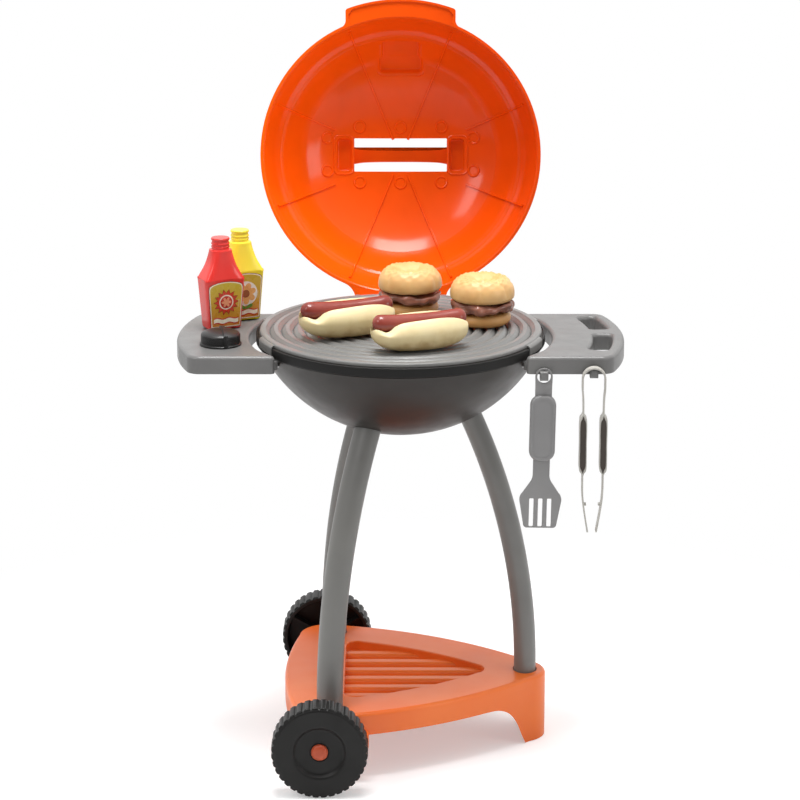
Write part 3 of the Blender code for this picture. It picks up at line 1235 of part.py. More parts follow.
def add_tray():
    outline = tray_outline()
    skirt_z = TRAY_TOP_Z - TRAY_SKIRT
    shape = bmesh.new()
    soft_prism(shape, outline, 0.0, TRAY_TOP_Z, TRAY_TOP_EDGE)
    tray = add_object("base_tray", shape, ORANGE_TRAY, GRILL)
    hollow = bmesh.new()
    prism(hollow, inset_outline(outline, TRAY_WALL), -CUT_OVERRUN, TRAY_TOP_Z - TRAY_WALL)
    cut(tray, add_cutter("tray_hollow", hollow, GRILL))
    arch = bmesh.new()
    span = TRAY_FOOT_INNER_X - TRAY_FOOT_START_X
    far = 2 * TRAY_LEFT_CORNER_X
    points = [(far, -CUT_OVERRUN), (far, skirt_z)]
    points += [(TRAY_FOOT_START_X + span * along, skirt_z * up) for along, up in ARCH_SHARES]
    points.append((TRAY_FOOT_INNER_X, -CUT_OVERRUN))
    reach = 2 * TRAY_LEFT_CORNER_Y
    front_prism(arch, points, -reach, reach)
    cut(tray, add_cutter("tray_arch", arch, GRILL))
    fill = bmesh.new()
    prism(fill, recess_outline(TRAY_WALL), TRAY_TOP_Z - RECESS_DEPTH - TRAY_WALL, TRAY_TOP_Z - TRAY_WALL / 2)
    join(tray, add_cutter("recess_basin", fill, GRILL))
    sockets = bmesh.new()
    for foot, lean in LEG_PLACES.values():
        prism(sockets, oval(foot, lean, SOCKET_CLEARANCE + SOCKET_WALL),
              TRAY_TOP_Z - SOCKET_DEPTH - SOCKET_WALL, TRAY_TOP_Z - TRAY_WALL / 3)
    join(tray, add_cutter("leg_sockets", sockets, GRILL))
    housings = bmesh.new()
    for side in (-1, 1):
        face = side * AXLE_HOUSING_FACE_Y
        inner = side * (AXLE_HOUSING_FACE_Y - AXLE_HOUSING_DEPTH)
        low, high = sorted((face, inner))
        corners = [(AXLE_HOUSING_LEFT_X, AXLE_HOUSING_UNDER_Z, AXLE_HOUSING_CORNER),
                   (AXLE_HOUSING_RIGHT_X, AXLE_HOUSING_UNDER_Z, AXLE_HOUSING_CORNER),
                   (AXLE_HOUSING_RIGHT_X, TRAY_TOP_Z - TRAY_TOP_EDGE, 0.0),
                   (AXLE_HOUSING_LEFT_X + TRAY_LEFT_BULGE, TRAY_TOP_Z - TRAY_TOP_EDGE, 0.0)]
        front_prism(housings, rounded(corners, AXLE_HOUSING_STEPS), low, high)
    join(tray, add_cutter("axle_housings", housings, GRILL))
    recess = bmesh.new()
    prism(recess, recess_outline(0.0), TRAY_TOP_Z - RECESS_DEPTH, TRAY_TOP_Z + CUT_OVERRUN)
    for foot, lean in LEG_PLACES.values():
        prism(recess, oval(foot, lean, SOCKET_CLEARANCE), TRAY_TOP_Z - SOCKET_DEPTH, TRAY_TOP_Z + CUT_OVERRUN)
    cut(tray, add_cutter("tray_recess_and_sockets", recess, GRILL))
    ribs = bmesh.new()
    floor = TRAY_TOP_Z - RECESS_DEPTH - TRAY_WALL / 2
    for rib in range(RIB_COUNT):
        centre = RIB_PITCH * (rib - (RIB_COUNT - 1) / 2)
        share = (abs(centre) + RIB_HALF_WIDTH) / RECESS_HALF_DEPTH
        right = RECESS_RIGHT_X - (RECESS_RIGHT_X - RECESS_LEFT_X) * share + TRAY_WALL
        points = [(centre + RIB_HALF_WIDTH * wide, floor + TRAY_WALL / 2 + RIB_HEIGHT * up - TRAY_WALL / 4)
                  for wide, up in RIB_SHARES]
        side_prism(ribs, points, RECESS_LEFT_X - TRAY_WALL / 2, right)
    join(tray, add_cutter("tray_ribs", ribs, GRILL))
    holes = bmesh.new()
    reach = AXLE_HOUSING_FACE_Y + CUT_OVERRUN
    rod(holes, (AXLE_X, -reach, WHEEL_RADIUS), (AXLE_X, reach, WHEEL_RADIUS), AXLE_RADIUS + AXLE_CLEARANCE, PIN_STEPS)
    for seat, way in LEG_FOOT_SCREWS:
        screw_hole(holes, seat, way)
    cut(tray, add_cutter("tray_holes", holes, GRILL))


def lay_along_y(shape, side, face_y):
    """Turn a lathe shape so that its height runs from a wheel's outer face towards the middle."""
    place = Matrix.Translation((AXLE_X, side * face_y, WHEEL_RADIUS)) @ Matrix.Rotation(side * pi / 2, 4, "X")
    bmesh.ops.transform(shape, matrix=place, verts=shape.verts)


def add_wheel(name, side, pivot):
    bore = AXLE_RADIUS + AXLE_CLEARANCE
    hub_end = WHEEL_FACE_Y - AXLE_HOUSING_FACE_Y - WHEEL_END_PLAY
    floor = DISH_DEPTH + WHEEL_WALL
    profile = [
        (bore, DISH_DEPTH), (DISH_RADIUS, DISH_DEPTH), (DISH_RADIUS + WHEEL_EDGE, 0.0),
        (WHEEL_RADIUS - 2 * WHEEL_EDGE, 0.0), (WHEEL_RADIUS, WHEEL_EDGE), (WHEEL_RADIUS, WHEEL_WIDTH),
        (WHEEL_RADIUS - WHEEL_WALL, WHEEL_WIDTH), (WHEEL_RADIUS - WHEEL_WALL - WHEEL_EDGE, floor),
        (HUB_RADIUS, floor), (HUB_RADIUS, hub_end), (bore, hub_end),
    ]
    shape = lathe(bmesh.new(), profile, WHEEL_TREADS, doubled=(4, 5), halved=(0, 8, 9, 10), scallop=WHEEL_TREAD_DEPTH)
    lay_along_y(shape, side, WHEEL_FACE_Y)
    add_object(name, shape, WHEEL_GREY, pivot)


def add_axle():
    cap_face = WHEEL_FACE_Y - DISH_DEPTH + GAP
    reach = cap_face + CAP_HEIGHT / 2
    shape = bmesh.new()
    rod(shape, (AXLE_X, -reach, WHEEL_RADIUS), (AXLE_X, reach, WHEEL_RADIUS), AXLE_RADIUS, PIN_STEPS)
    add_object("axle", shape, STEEL, GRILL)
    for name, side in (("front_hub_cap", -1), ("rear_hub_cap", 1)):
        bore = AXLE_RADIUS + GAP
        depth = CAP_HEIGHT / 2 + GAP
        profile = [(CAP_RADIUS * out, -CAP_HEIGHT * up) for out, up in CAP_SHARES]
        profile += [(bore, 0.0), (bore, -depth), (0.0, -depth)]
        shape = lathe(bmesh.new(), profile, CAP_STEPS)
        lay_along_y(shape, side, cap_face)
        add_object(name, shape, ORANGE_TRAY, GRILL)


# Screws

def add_screws():
    for name, places in (("shelf_screw", SHELF_SCREWS), ("hinge_screw", HINGE_SCREWS),
                         ("leg_top_screw", LEG_TOP_SCREWS), ("leg_foot_screw", LEG_FOOT_SCREWS)):
        for number, (seat, way) in enumerate(places, 1):
            shape = bmesh.new()
            screw(shape, seat, way)
            add_object(f"{name}_{number}", shape, STEEL, GRILL)


# Bottles

def squarish(half_x, half_y, roundness):
    """Points of a rounded oblong, from a circle at 2 to nearly a box at high values."""
    points = []
    for side in range(BOTTLE_SIDES):
        angle = 2 * pi * (side + 0.5) / BOTTLE_SIDES
        across, along = cos(angle), sin(angle)
        scale = (abs(across) ** roundness + abs(along) ** roundness) ** (-1 / roundness)
        points.append(Vector((half_x * across * scale, half_y * along * scale, 0.0)))
    return points


def add_bottle(name, color, pivot):
    base_share = BOTTLE_BASE_SHARE
    edge = BOTTLE_DEPTH / 10
    half_x, half_y = BOTTLE_WIDTH / 2, BOTTLE_DEPTH / 2
    centres = [Vector((0.0, 0.0, 0.0)), Vector((0.0, 0.0, edge)), Vector((0.0, 0.0, BOTTLE_SHOULDER_Z))]
    sections = [squarish(half_x * base_share - edge, half_y * base_share - edge, BOTTLE_SQUARENESS),
                squarish(half_x * base_share, half_y * base_share, BOTTLE_SQUARENESS),
                squarish(half_x, half_y, BOTTLE_SQUARENESS)]
    rise = BOTTLE_HEIGHT - BOTTLE_SHOULDER_Z
    for up, out in BOTTLE_SHOULDER_SHARES[1:]:
        centres.append(Vector((0.0, 0.0, BOTTLE_SHOULDER_Z + rise * up)))
        neck = BOTTLE_NECK_RADIUS
        roundness = 2 + (BOTTLE_SQUARENESS - 2) * out
        sections.append(squarish(neck + (half_x - neck) * out, neck + (half_y - neck) * out, roundness))
    for reach, up in CAP_RING_SHARES:
        centres.append(Vector((0.0, 0.0, BOTTLE_HEIGHT + GAP + CAP_RING_HEIGHT * up)))
        sections.append(squarish(CAP_RING_RADIUS * reach, CAP_RING_RADIUS * reach, 2))
    shape = bmesh.new()
    sweep(shape, centres, sections)
    add_object(name + "_bottle", shape, color, pivot, local=True)


def add_label(name, pivot):
    """A sticker on the bottle's leaning front face."""
    half_base = BOTTLE_DEPTH / 2 * BOTTLE_BASE_SHARE
    lean = atan2(BOTTLE_DEPTH / 2 - half_base, BOTTLE_SHOULDER_Z)
    low = BOTTLE_SHOULDER_Z * LABEL_BASE_SHARE
    high = BOTTLE_SHOULDER_Z * LABEL_TOP_SHARE
    top = LABEL_WIDTH / 2
    base = top * LABEL_BASE_WIDTH_SHARE
    corner = LABEL_WIDTH * LABEL_CORNER_SHARE
    outline = rounded([(-base, low, 0.0), (base, low, 0.0), (top, high, corner), (-top, high, corner)], CORNER_STEPS)
    shape = bmesh.new()
    prism(shape, outline, 0.0, LABEL_THICKNESS)
    place = Matrix.Translation((0.0, -half_base - GAP / cos(lean), 0.0)) @ Matrix.Rotation(pi / 2 + lean, 4, "X")
    bmesh.ops.transform(shape, matrix=place, verts=shape.verts)
    add_object(name + "_label", shape, LABEL_GOLD, pivot, smooth=False, local=True)


# Play food

def sausage_shape(shape, grow, open_top=False):
    """A bowed round bar with round ends, its middle lower than its ends, or the trough it lies in."""
    radius = SAUSAGE_RADIUS + grow
    body = SAUSAGE_HALF_LENGTH - SAUSAGE_RADIUS
    stations = []
    for ring in range(SAUSAGE_END_RINGS):
        angle = pi / 2 * (ring + 0.35) / SAUSAGE_END_RINGS
        stations.append((-body - radius * cos(angle), radius * sin(angle)))
    stations += [(-body + 2 * body * ring / (SAUSAGE_RINGS - 1), radius) for ring in range(SAUSAGE_RINGS)]
    stations += [(-along, reach) for along, reach in reversed(stations[:SAUSAGE_END_RINGS])]
    centres = []
    sections = []
    for along, reach in stations:
        bow = SAUSAGE_BOW * (along / SAUSAGE_HALF_LENGTH) ** 2
        centres.append(Vector((along, 0.0, SAUSAGE_CENTRE + bow)))
        sides = SAUSAGE_SIDES // 2 + 1 if open_top else SAUSAGE_SIDES
        section = []
        for side in range(sides):
            angle = pi + 2 * pi * side / SAUSAGE_SIDES
            section.append(Vector((0.0, reach * cos(angle), reach * sin(angle))))
        if open_top:
            section += [Vector((0.0, reach, BUN_HEIGHT)), Vector((0.0, -reach, BUN_HEIGHT))]
        sections.append(section)
    sweep(shape, centres, sections)


def add_hot_dog(number, place):
    base = GRATE_TOP_Z + GAP
    x, y, turn = place
    bun_pivot = add_pivot(f"hot_dog_bun_{number}_axis", (x, y, base), GRILL, (0.0, 0.0, turn))
    shape = bmesh.new()
    centres = []
    sections = []
    for ring in range(BUN_RINGS):
        share = -cos(pi * (ring + 0.5) / BUN_RINGS)
        reach = (1 - abs(share) ** BUN_END_ROUNDNESS) ** (1 / BUN_END_ROUNDNESS)
        centres.append(Vector((BUN_HALF_LENGTH * share, 0.0, BUN_HEIGHT / 2)))
        section = []
        for side in range(BUN_STEPS):
            angle = 2 * pi * (side + 0.5) / BUN_STEPS
            flat = (abs(cos(angle)) ** BUN_SIDE_ROUNDNESS + abs(sin(angle)) ** BUN_SIDE_ROUNDNESS) \
                ** (-1 / BUN_SIDE_ROUNDNESS)
            section.append(Vector((0.0, BUN_HALF_WIDTH * reach * cos(angle) * flat,
                                   BUN_HEIGHT / 2 * reach * sin(angle) * flat)))
        centres[-1].z -= BUN_HEIGHT / 2 * (1 - reach) * BUN_END_DROP_SHARE
        sections.append(section)
    sweep(shape, centres, sections)
    bun = add_object(f"hot_dog_bun_{number}", shape, BREAD, bun_pivot, local=True)
    groove = bmesh.new()
    sausage_shape(groove, GROOVE_CLEARANCE, open_top=True)
    cut(bun, add_cutter(f"hot_dog_groove_{number}", groove, bun_pivot, local=True))
    seat = bmesh.new()
    box(seat, (-BUN_HALF_LENGTH, -BUN_HALF_WIDTH, -BUN_HEIGHT), (BUN_HALF_LENGTH, BUN_HALF_WIDTH, 0.0))
    cut(bun, add_cutter(f"hot_dog_seat_{number}", seat, bun_pivot, local=True))
    sausage_pivot = add_pivot(f"sausage_{number}_axis", (x, y, base), GRILL, (0.0, 0.0, turn))
    shape = bmesh.new()
    sausage_shape(shape, 0.0)
    add_object(f"sausage_{number}", shape, SAUSAGE_BROWN, sausage_pivot, local=True)


def add_burger(number, place):
    base = GRATE_TOP_Z + GAP
    layers = (("burger_base", BURGER_BASE_RADIUS, BURGER_BASE_HEIGHT, BURGER_BASE_SHARES, ROLL),
              ("patty", PATTY_RADIUS, PATTY_HEIGHT, PATTY_SHARES, PATTY_BROWN),
              ("burger_crown", CROWN_RADIUS, CROWN_HEIGHT, CROWN_SHARES, ROLL))
    for name, radius, height, shares, material in layers:
        pivot = add_pivot(f"{name}_{number}_axis", (place[0], place[1], base), GRILL)
        profile = [(radius * out, height * up) for out, up in shares]
        add_object(f"{name}_{number}", lathe(bmesh.new(), profile, BURGER_STEPS), material, pivot, local=True)
        base += height + GAP


# Hanging tools

def add_spatula():
    centre_z = SPATULA_PEG_TOP_Z + HANG_CLEARANCE - SPATULA_RING_HOLE
    front = -SHELF_HALF_DEPTH - SPATULA_FACE_GAP - SPATULA_THICKNESS / 2
    pivot = add_pivot("spatula_axis", (SPATULA_X, front, centre_z), GRILL, (0.0, SPATULA_TILT, 0.0))
    neck = SPATULA_NECK_HALF_WIDTH
    grip_under = SPATULA_GRIP_TOP + SPATULA_GRIP_LENGTH
    blade_top = grip_under + SPATULA_NECK_LENGTH
    shoulder = blade_top + SPATULA_SHOULDER_DROP
    tip = shoulder + SPATULA_BLADE_LENGTH
    points = [(neck, -blade_top), (SPATULA_BLADE_HALF_WIDTH, -shoulder), (SPATULA_TIP_HALF_WIDTH, -tip),
              (-SPATULA_TIP_HALF_WIDTH, -tip), (-SPATULA_BLADE_HALF_WIDTH, -shoulder), (-neck, -blade_top)]
    points.reverse()
    outline = arc_points((0.0, 0.0), SPATULA_RING_RADIUS, 0.0, pi, SPATULA_RING_STEPS) + points
    shape = bmesh.new()
    prism(shape, outline, -SPATULA_THICKNESS / 2, SPATULA_THICKNESS / 2)
    stand = Matrix.Rotation(pi / 2, 4, "X")
    bmesh.ops.transform(shape, matrix=stand, verts=shape.verts)
    spatula = add_object("spatula", shape, TOOL_GREY, pivot, local=True)
    half = SPATULA_GRIP_HALF_WIDTH
    corner = SPATULA_GRIP_CORNER
    grip = bmesh.new()
    outline = rounded([(-half, -grip_under, corner), (half, -grip_under, corner), (half, -SPATULA_GRIP_TOP, corner),
                       (-half, -SPATULA_GRIP_TOP, corner)], SPATULA_GRIP_STEPS)
    prism(grip, outline, -SPATULA_THICKNESS / 2 - GAP, SPATULA_GRIP_THICKNESS - SPATULA_THICKNESS / 2)
    bmesh.ops.transform(grip, matrix=stand, verts=grip.verts)
    join(spatula, add_cutter("spatula_grip_pad", grip, pivot, local=True))
    holes = bmesh.new()
    hole = arc_points((0.0, 0.0), SPATULA_RING_HOLE, 0.0, 2 * pi, 2 * SPATULA_RING_STEPS)[:-1]
    prism(holes, hole, -SPATULA_THICKNESS, SPATULA_THICKNESS)
    slot_top = shoulder - SPATULA_SLOT_WIDTH / 2
    for place in (-1, 0, 1):
        x = place * SPATULA_SLOT_PITCH
        half = SPATULA_SLOT_WIDTH / 2
        box(holes, (x - half, -slot_top - SPATULA_SLOT_LENGTH, -SPATULA_THICKNESS),
            (x + half, -slot_top, SPATULA_THICKNESS))
    bmesh.ops.transform(holes, matrix=stand, verts=holes.verts)
    cut(spatula, add_cutter("spatula_holes", holes, pivot, local=True))


def strip(shape, path, thickness, low, high):
    """A flat strip whose edge view follows a path of (x, z) points, between two depths in Y."""
    left = []
    right = []
    for index, (x, z) in enumerate(path):
        before = Vector(path[max(index - 1, 0)])
        after = Vector(path[min(index + 1, len(path) - 1)])
        way = (after - before).normalized()
        left.append((x - way.y * thickness / 2, z + way.x * thickness / 2))
        right.append((x + way.y * thickness / 2, z - way.x * thickness / 2))
    outline = left + list(reversed(right))
    front = [shape.verts.new((x, low, z)) for x, z in outline]
    back = [shape.verts.new((x, high, z)) for x, z in outline]
    count = len(outline)
    for index in range(count):
        after = (index + 1) % count
        shape.faces.new((front[index], front[after], back[after], back[index]))
    for ring in (front, back):
        for index in range(len(path) - 1):
            shape.faces.new((ring[index], ring[index + 1], ring[count - 2 - index], ring[count - 1 - index]))


def add_tongs():
    radius = TONGS_BOW_RADIUS - TONGS_STRIP / 2
    centre_z = TONGS_PEG_TOP_Z + HANG_CLEARANCE - TONGS_BOW_RADIUS + TONGS_STRIP
    back = -SHELF_HALF_DEPTH - TONGS_FACE_GAP
    front = back - TONGS_STRIP_WIDTH
    middle = (front + back) / 2
    pivot = add_pivot("tongs_axis", (TONGS_X, middle, centre_z), GRILL)
    low, high = front - middle, back - middle
    bow = [(-radius, -TONGS_BOW_SIDE)]
    bow += [(-radius * cos(pi * step / TONGS_BOW_STEPS), radius * sin(pi * step / TONGS_BOW_STEPS))
            for step in range(TONGS_BOW_STEPS + 1)]
    bow.append((radius, -TONGS_BOW_SIDE))
    shape = bmesh.new()
    strip(shape, bow, TONGS_STRIP, low, high)
    add_object("tongs_bow", shape, TONGS_SILVER, pivot, local=True)
    for name, side in (("left", -1), ("right", 1)):
        top = (TONGS_X + side * radius, middle, centre_z - TONGS_BOW_SIDE - GAP)
        arm_pivot = add_pivot(f"tongs_{name}_arm_axis", top, GRILL)
        path = [(-side * inward, -down) for down, inward in TONGS_ARM_POINTS]
        shape = bmesh.new()
        strip(shape, path, TONGS_STRIP, low, high)
        arm = add_object(f"tongs_{name}_arm", shape, TONGS_SILVER, arm_pivot, smooth=False, local=True)
        nub = bmesh.new()
        nub_x = -side * TONGS_ARM_POINTS[3][1]
        ends = sorted((nub_x - side * TONGS_NUB_REACH, nub_x))
        half = TONGS_STRIP_WIDTH / 4
        box(nub, (ends[0], -half, -TONGS_NUB_DROP - TONGS_NUB_SIZE), (ends[1], half, -TONGS_NUB_DROP))
        join(arm, add_cutter(f"tongs_{name}_nub", nub, arm_pivot, local=True))
        grip_low = TONGS_GRIP_TOP + TONGS_GRIP_LENGTH
        middle_x = -side * TONGS_ARM_POINTS[1][1]
        half = TONGS_GRIP_HALF_WIDTH
        slot = TONGS_STRIP / 2 + TONGS_GRIP_CLEARANCE
        taper = TONGS_GRIP_TAPER
        outer = [(middle_x + half, -grip_low + taper), (middle_x + half, -TONGS_GRIP_TOP - taper),
                 (middle_x + slot + GAP, -TONGS_GRIP_TOP), (middle_x - slot - GAP, -TONGS_GRIP_TOP),
                 (middle_x - half, -TONGS_GRIP_TOP - taper), (middle_x - half, -grip_low + taper),
                 (middle_x - slot - GAP, -grip_low), (middle_x + slot + GAP, -grip_low)]
        shape = bmesh.new()
        front_prism(shape, outer, low - TONGS_STRIP / 2, high + TONGS_STRIP / 2)
        grip = add_object(f"tongs_{name}_grip", shape, GRIP_BROWN, arm_pivot, smooth=False, local=True)
        channel = bmesh.new()
        box(channel, (middle_x - slot, low - TONGS_GRIP_CLEARANCE, -grip_low - CUT_OVERRUN),
            (middle_x + slot, high + TONGS_GRIP_CLEARANCE, -TONGS_GRIP_TOP + CUT_OVERRUN))
        cut(grip, add_cutter(f"tongs_{name}_grip_channel", channel, arm_pivot, local=True))


# Assembly

def build_grill():
    add_bowl()
    add_band()
    for name in LEG_PLACES:
        add_leg(name)
    add_tray()
    add_axle()
    for name, side in (("front_wheel", -1), ("rear_wheel", 1)):
        pivot = add_pivot(name + "_axis", (AXLE_X, side * WHEEL_FACE_Y, WHEEL_RADIUS), GRILL)
        add_wheel(name, side, pivot)
    add_right_shelf()
    add_left_shelf()
    add_knob(add_pivot("knob_axis", (KNOB_X, KNOB_Y, SHELF_TOP_Z), GRILL))
    add_grate(add_pivot("grate_axis", (0.0, 0.0, GRATE_TOP_Z), GRILL))
    add_hinge()
    add_lid(add_pivot("lid_hinge_axis", (0.0, HINGE_Y, HINGE_Z), GRILL, (-LID_OPEN_ANGLE, 0.0, 0.0)))
    add_screws()
    for name, color, place in (("ketchup", KETCHUP_RED, KETCHUP_PLACE), ("mustard", MUSTARD_YELLOW, MUSTARD_PLACE)):
        pivot = add_pivot(name + "_axis", (*place, SHELF_TOP_Z + GAP), GRILL, (0.0, 0.0, BOTTLE_TURN))
        add_bottle(name, color, pivot)
        add_label(name, pivot)
    for number, place in enumerate(HOT_DOG_PLACES, 1):
        add_hot_dog(number, place)
    for number, place in enumerate(BURGER_PLACES, 1):
        add_burger(number, place)
    add_spatula()
    add_tongs()
    bpy.context.view_layer.update()


build_grill()
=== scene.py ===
"""Toy barbecue grill: how it looks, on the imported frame. Metres, in the row frame.

Every piece is drawn from the kettle's own upright axis and moved onto the frame when it is settled.
"""
from math import acos, asin, atan2, cos, pi, radians, sin, sqrt, tan

import bmesh
import bpy
from mathutils import Matrix, Vector, noise


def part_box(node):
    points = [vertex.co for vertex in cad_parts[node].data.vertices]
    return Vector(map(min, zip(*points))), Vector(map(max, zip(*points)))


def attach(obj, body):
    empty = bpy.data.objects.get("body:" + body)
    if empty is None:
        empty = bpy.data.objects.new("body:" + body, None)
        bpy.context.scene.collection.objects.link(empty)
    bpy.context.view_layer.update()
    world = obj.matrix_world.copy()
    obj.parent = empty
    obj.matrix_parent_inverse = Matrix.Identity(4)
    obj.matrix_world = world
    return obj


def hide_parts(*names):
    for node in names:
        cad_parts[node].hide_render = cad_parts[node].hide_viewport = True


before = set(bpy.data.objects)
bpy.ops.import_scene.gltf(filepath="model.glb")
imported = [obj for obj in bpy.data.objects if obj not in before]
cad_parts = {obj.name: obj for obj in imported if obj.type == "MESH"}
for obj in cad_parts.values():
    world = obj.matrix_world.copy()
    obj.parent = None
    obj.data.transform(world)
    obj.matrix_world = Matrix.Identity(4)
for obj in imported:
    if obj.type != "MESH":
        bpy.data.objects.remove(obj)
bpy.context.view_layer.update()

shift = Matrix.Translation


def turn_by(angle, axis="Z"):
    return Matrix.Rotation(angle, 4, axis)


# The kettle's axis, and the lid's hinge, in the frame
BOWL_LOW, BOWL_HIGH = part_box("bowl")
KETTLE = shift((0, (BOWL_LOW.y + BOWL_HIGH.y) / 2, 0))
HINGE = Vector((0, 0.17506, 0.4885))
LID_OPEN = shift(HINGE) @ turn_by(radians(-103.2), "X") @ shift(-HINGE)

STEPS = 128
CLEARANCE = 0.0003
MERGE = 0.000002


# Working by hand: picking, drawing, turning, raising, cutting and settling

def clear():
    """Leave edit mode with nothing selected, so that the next operator meets only its own piece."""
    if bpy.context.mode != "OBJECT":
        bpy.ops.object.mode_set(mode="OBJECT")
    bpy.ops.object.select_all(action="DESELECT")
    bpy.context.tool_settings.mesh_select_mode = (True, False, False)


def everything():
    bpy.ops.mesh.select_all(action="SELECT")


def kept():
    """Keep the object's place, turn and size in its mesh."""
    bpy.ops.object.transform_apply(location=True, rotation=True, scale=True)


def named(name):
    """The object just made, under its own name."""
    piece = bpy.context.object
    piece.name = name
    return piece


def take(piece):
    clear()
    piece.select_set(True)
    bpy.context.view_layer.objects.active = piece


def edit(piece):
    take(piece)
    bpy.ops.object.mode_set(mode="EDIT")


def pick(test, kind="VERT"):
    """Select the vertices or edges of the piece in edit mode that pass a test of their place."""
    bpy.ops.mesh.select_all(action="DESELECT")
    bpy.ops.mesh.select_mode(type=kind)
    mesh = bmesh.from_edit_mesh(bpy.context.object.data)
    for item in mesh.verts if kind == "VERT" else mesh.edges:
        if test(item):
            item.select_set(True)
    mesh.select_flush_mode()
    bmesh.update_edit_mesh(bpy.context.object.data)


def outward():
    everything()
    bpy.ops.mesh.normals_make_consistent(inside=False)


def drawn(name, points, closed=False):
    """A line of edges pulled out of one vertex, left open in edit mode and all selected."""
    clear()
    points = [Vector(point) for point in points]
    bpy.ops.mesh.primitive_plane_add(size=0.01, location=points[0])
    piece = named(name)
    kept()
    bpy.ops.object.mode_set(mode="EDIT")
    everything()
    bpy.ops.mesh.merge(type="CENTER")
    for before, after in zip(points, points[1:]):
        bpy.ops.mesh.extrude_region_move(TRANSFORM_OT_translate={"value": after - before})
    if closed:
        pick(lambda vertex: len(vertex.link_edges) < 2)
        bpy.ops.mesh.edge_face_add()
    everything()
    return piece


def spun(steps, angle, centre, axis):
    everything()
    bpy.ops.mesh.spin(steps=steps, angle=angle, center=centre, axis=axis)
    everything()
    bpy.ops.mesh.remove_doubles(threshold=MERGE)


def turned(name, profile, steps=STEPS, centre=(0, 0, 0), along="Z", closed=False):
    """A profile of (radius, height) turned all round its upright axis, or one that lies along Y."""
    place = Vector(centre)
    upright = along == "Z"
    points = [place + Vector((radius, 0, height) if upright else (radius, height, 0))
              for radius, height in profile]
    piece = drawn(name, points, closed)
    spun(steps, 2 * pi, place, (0, 0, 1) if upright else (0, 1, 0))
    outward()
    clear()
    return piece


def rod(name, radius, low, high, steps, centre=(0, 0, 0), along="Z"):
    """A plain round bar."""
    return turned(name, [(0, low), (radius, low), (radius, high), (0, high)], steps, centre, along)


def sector(name, profile, start, end, steps):
    """A closed profile turned through part of a circle about the kettle's axis, both ends filled."""
    points = [(radius * cos(start), radius * sin(start), height) for radius, height in profile]
    piece = drawn(name, points, closed=True)
    spun(steps, start - end, (0, 0, 0), (0, 0, 1))
    bpy.ops.mesh.fill_holes(sides=0)
    outward()
    clear()
    return piece


def pushed(name, points, way):
    """A closed line of points filled and pulled one way."""
    piece = drawn(name, points, closed=True)
    bpy.ops.mesh.edge_face_add()
    bpy.ops.mesh.extrude_region_move(TRANSFORM_OT_translate={"value": way})
    outward()
    clear()
    return piece


def raised(name, outline, low, high, edge=0, segments=4, corners=()):
    """An outline of (x, y) points filled and pulled up; corners are (x, y, width, segments) to round."""
    piece = drawn(name, [(x, y, low) for x, y in outline], closed=True)
    bpy.ops.mesh.edge_face_add()
    for x, y, width, count in corners:
        near = min(Vector((vertex.co.x - x, vertex.co.y - y)).length
                   for vertex in bmesh.from_edit_mesh(piece.data).verts)
        pick(lambda vertex: Vector((vertex.co.x - x, vertex.co.y - y)).length < near + 1e-6)
        bpy.ops.mesh.bevel(affect="VERTICES", offset=width, segments=count)
    everything()
    bpy.ops.mesh.extrude_region_move(TRANSFORM_OT_translate={"value": (0, 0, high - low)})
    if edge:
        bpy.ops.mesh.bevel(affect="EDGES", offset=edge, segments=segments)
    outward()
    clear()
    return piece


def laid(piece, matrix):
    """Move or turn a whole piece and keep its new place in its mesh."""
    take(piece)
    piece.matrix_world = matrix @ piece.matrix_world
    kept()
    return piece


def block(name, low, high, edge=0.0, segments=3):
    """A cube brought to two corners, with its edges softened."""
    clear()
    middle = [(a + b) / 2 for a, b in zip(low, high)]
    bpy.ops.mesh.primitive_cube_add(size=1, location=middle, scale=[b - a for a, b in zip(low, high)])
    piece = named(name)
    kept()
    if edge:
        bpy.ops.object.mode_set(mode="EDIT")
        everything()
        bpy.ops.mesh.bevel(affect="EDGES", offset=edge, segments=segments)
    clear()
    return piece


def lofted(name, rings):
    """A skin pulled from ring to ring: each ring is extruded out of the last and set in its place."""
    clear()
    count = len(rings[0])
    bpy.ops.mesh.primitive_circle_add(vertices=count, radius=0.05, fill_type="NGON")
    piece = named(name)
    bpy.ops.object.mode_set(mode="EDIT")
    mesh = bmesh.from_edit_mesh(piece.data)
    for vertex, point in zip(list(mesh.verts), rings[0]):
        vertex.co = point
    bmesh.update_edit_mesh(piece.data)
    everything()
    for before, ring in zip(rings, rings[1:]):
        bpy.ops.mesh.extrude_region_move(TRANSFORM_OT_translate={"value": (0, 0, 0)})
        mesh = bmesh.from_edit_mesh(piece.data)
        for vertex in [vertex for vertex in mesh.verts if vertex.select]:
            nearest = min(range(count), key=lambda index: (Vector(before[index]) - vertex.co).length_squared)
            vertex.co = ring[nearest]
        bmesh.update_edit_mesh(piece.data)
    outward()
    clear()
    return piece


def stacked(name, outline, rings):
    """An outline pulled up through rings of (inset, height)."""
    return lofted(name, [[(x, y, height) for x, y in (shrunk(outline, inset) if inset else outline)]
                         for inset, height in rings])


def reshaped(piece, move):
    """Move the vertices of a piece one by one."""
    edit(piece)
    mesh = bmesh.from_edit_mesh(piece.data)
    for vertex in mesh.verts:
        move(vertex)
    bmesh.update_edit_mesh(piece.data)
    clear()
    return piece


def applied(piece, kind, **settings):
    """Put a modifier on a piece and apply it at once."""
    take(piece)
    step = piece.modifiers.new(kind.lower(), kind)
    for key, value in settings.items():
        setattr(step, key, value)
    bpy.ops.object.modifier_apply(modifier=step.name)
    return piece


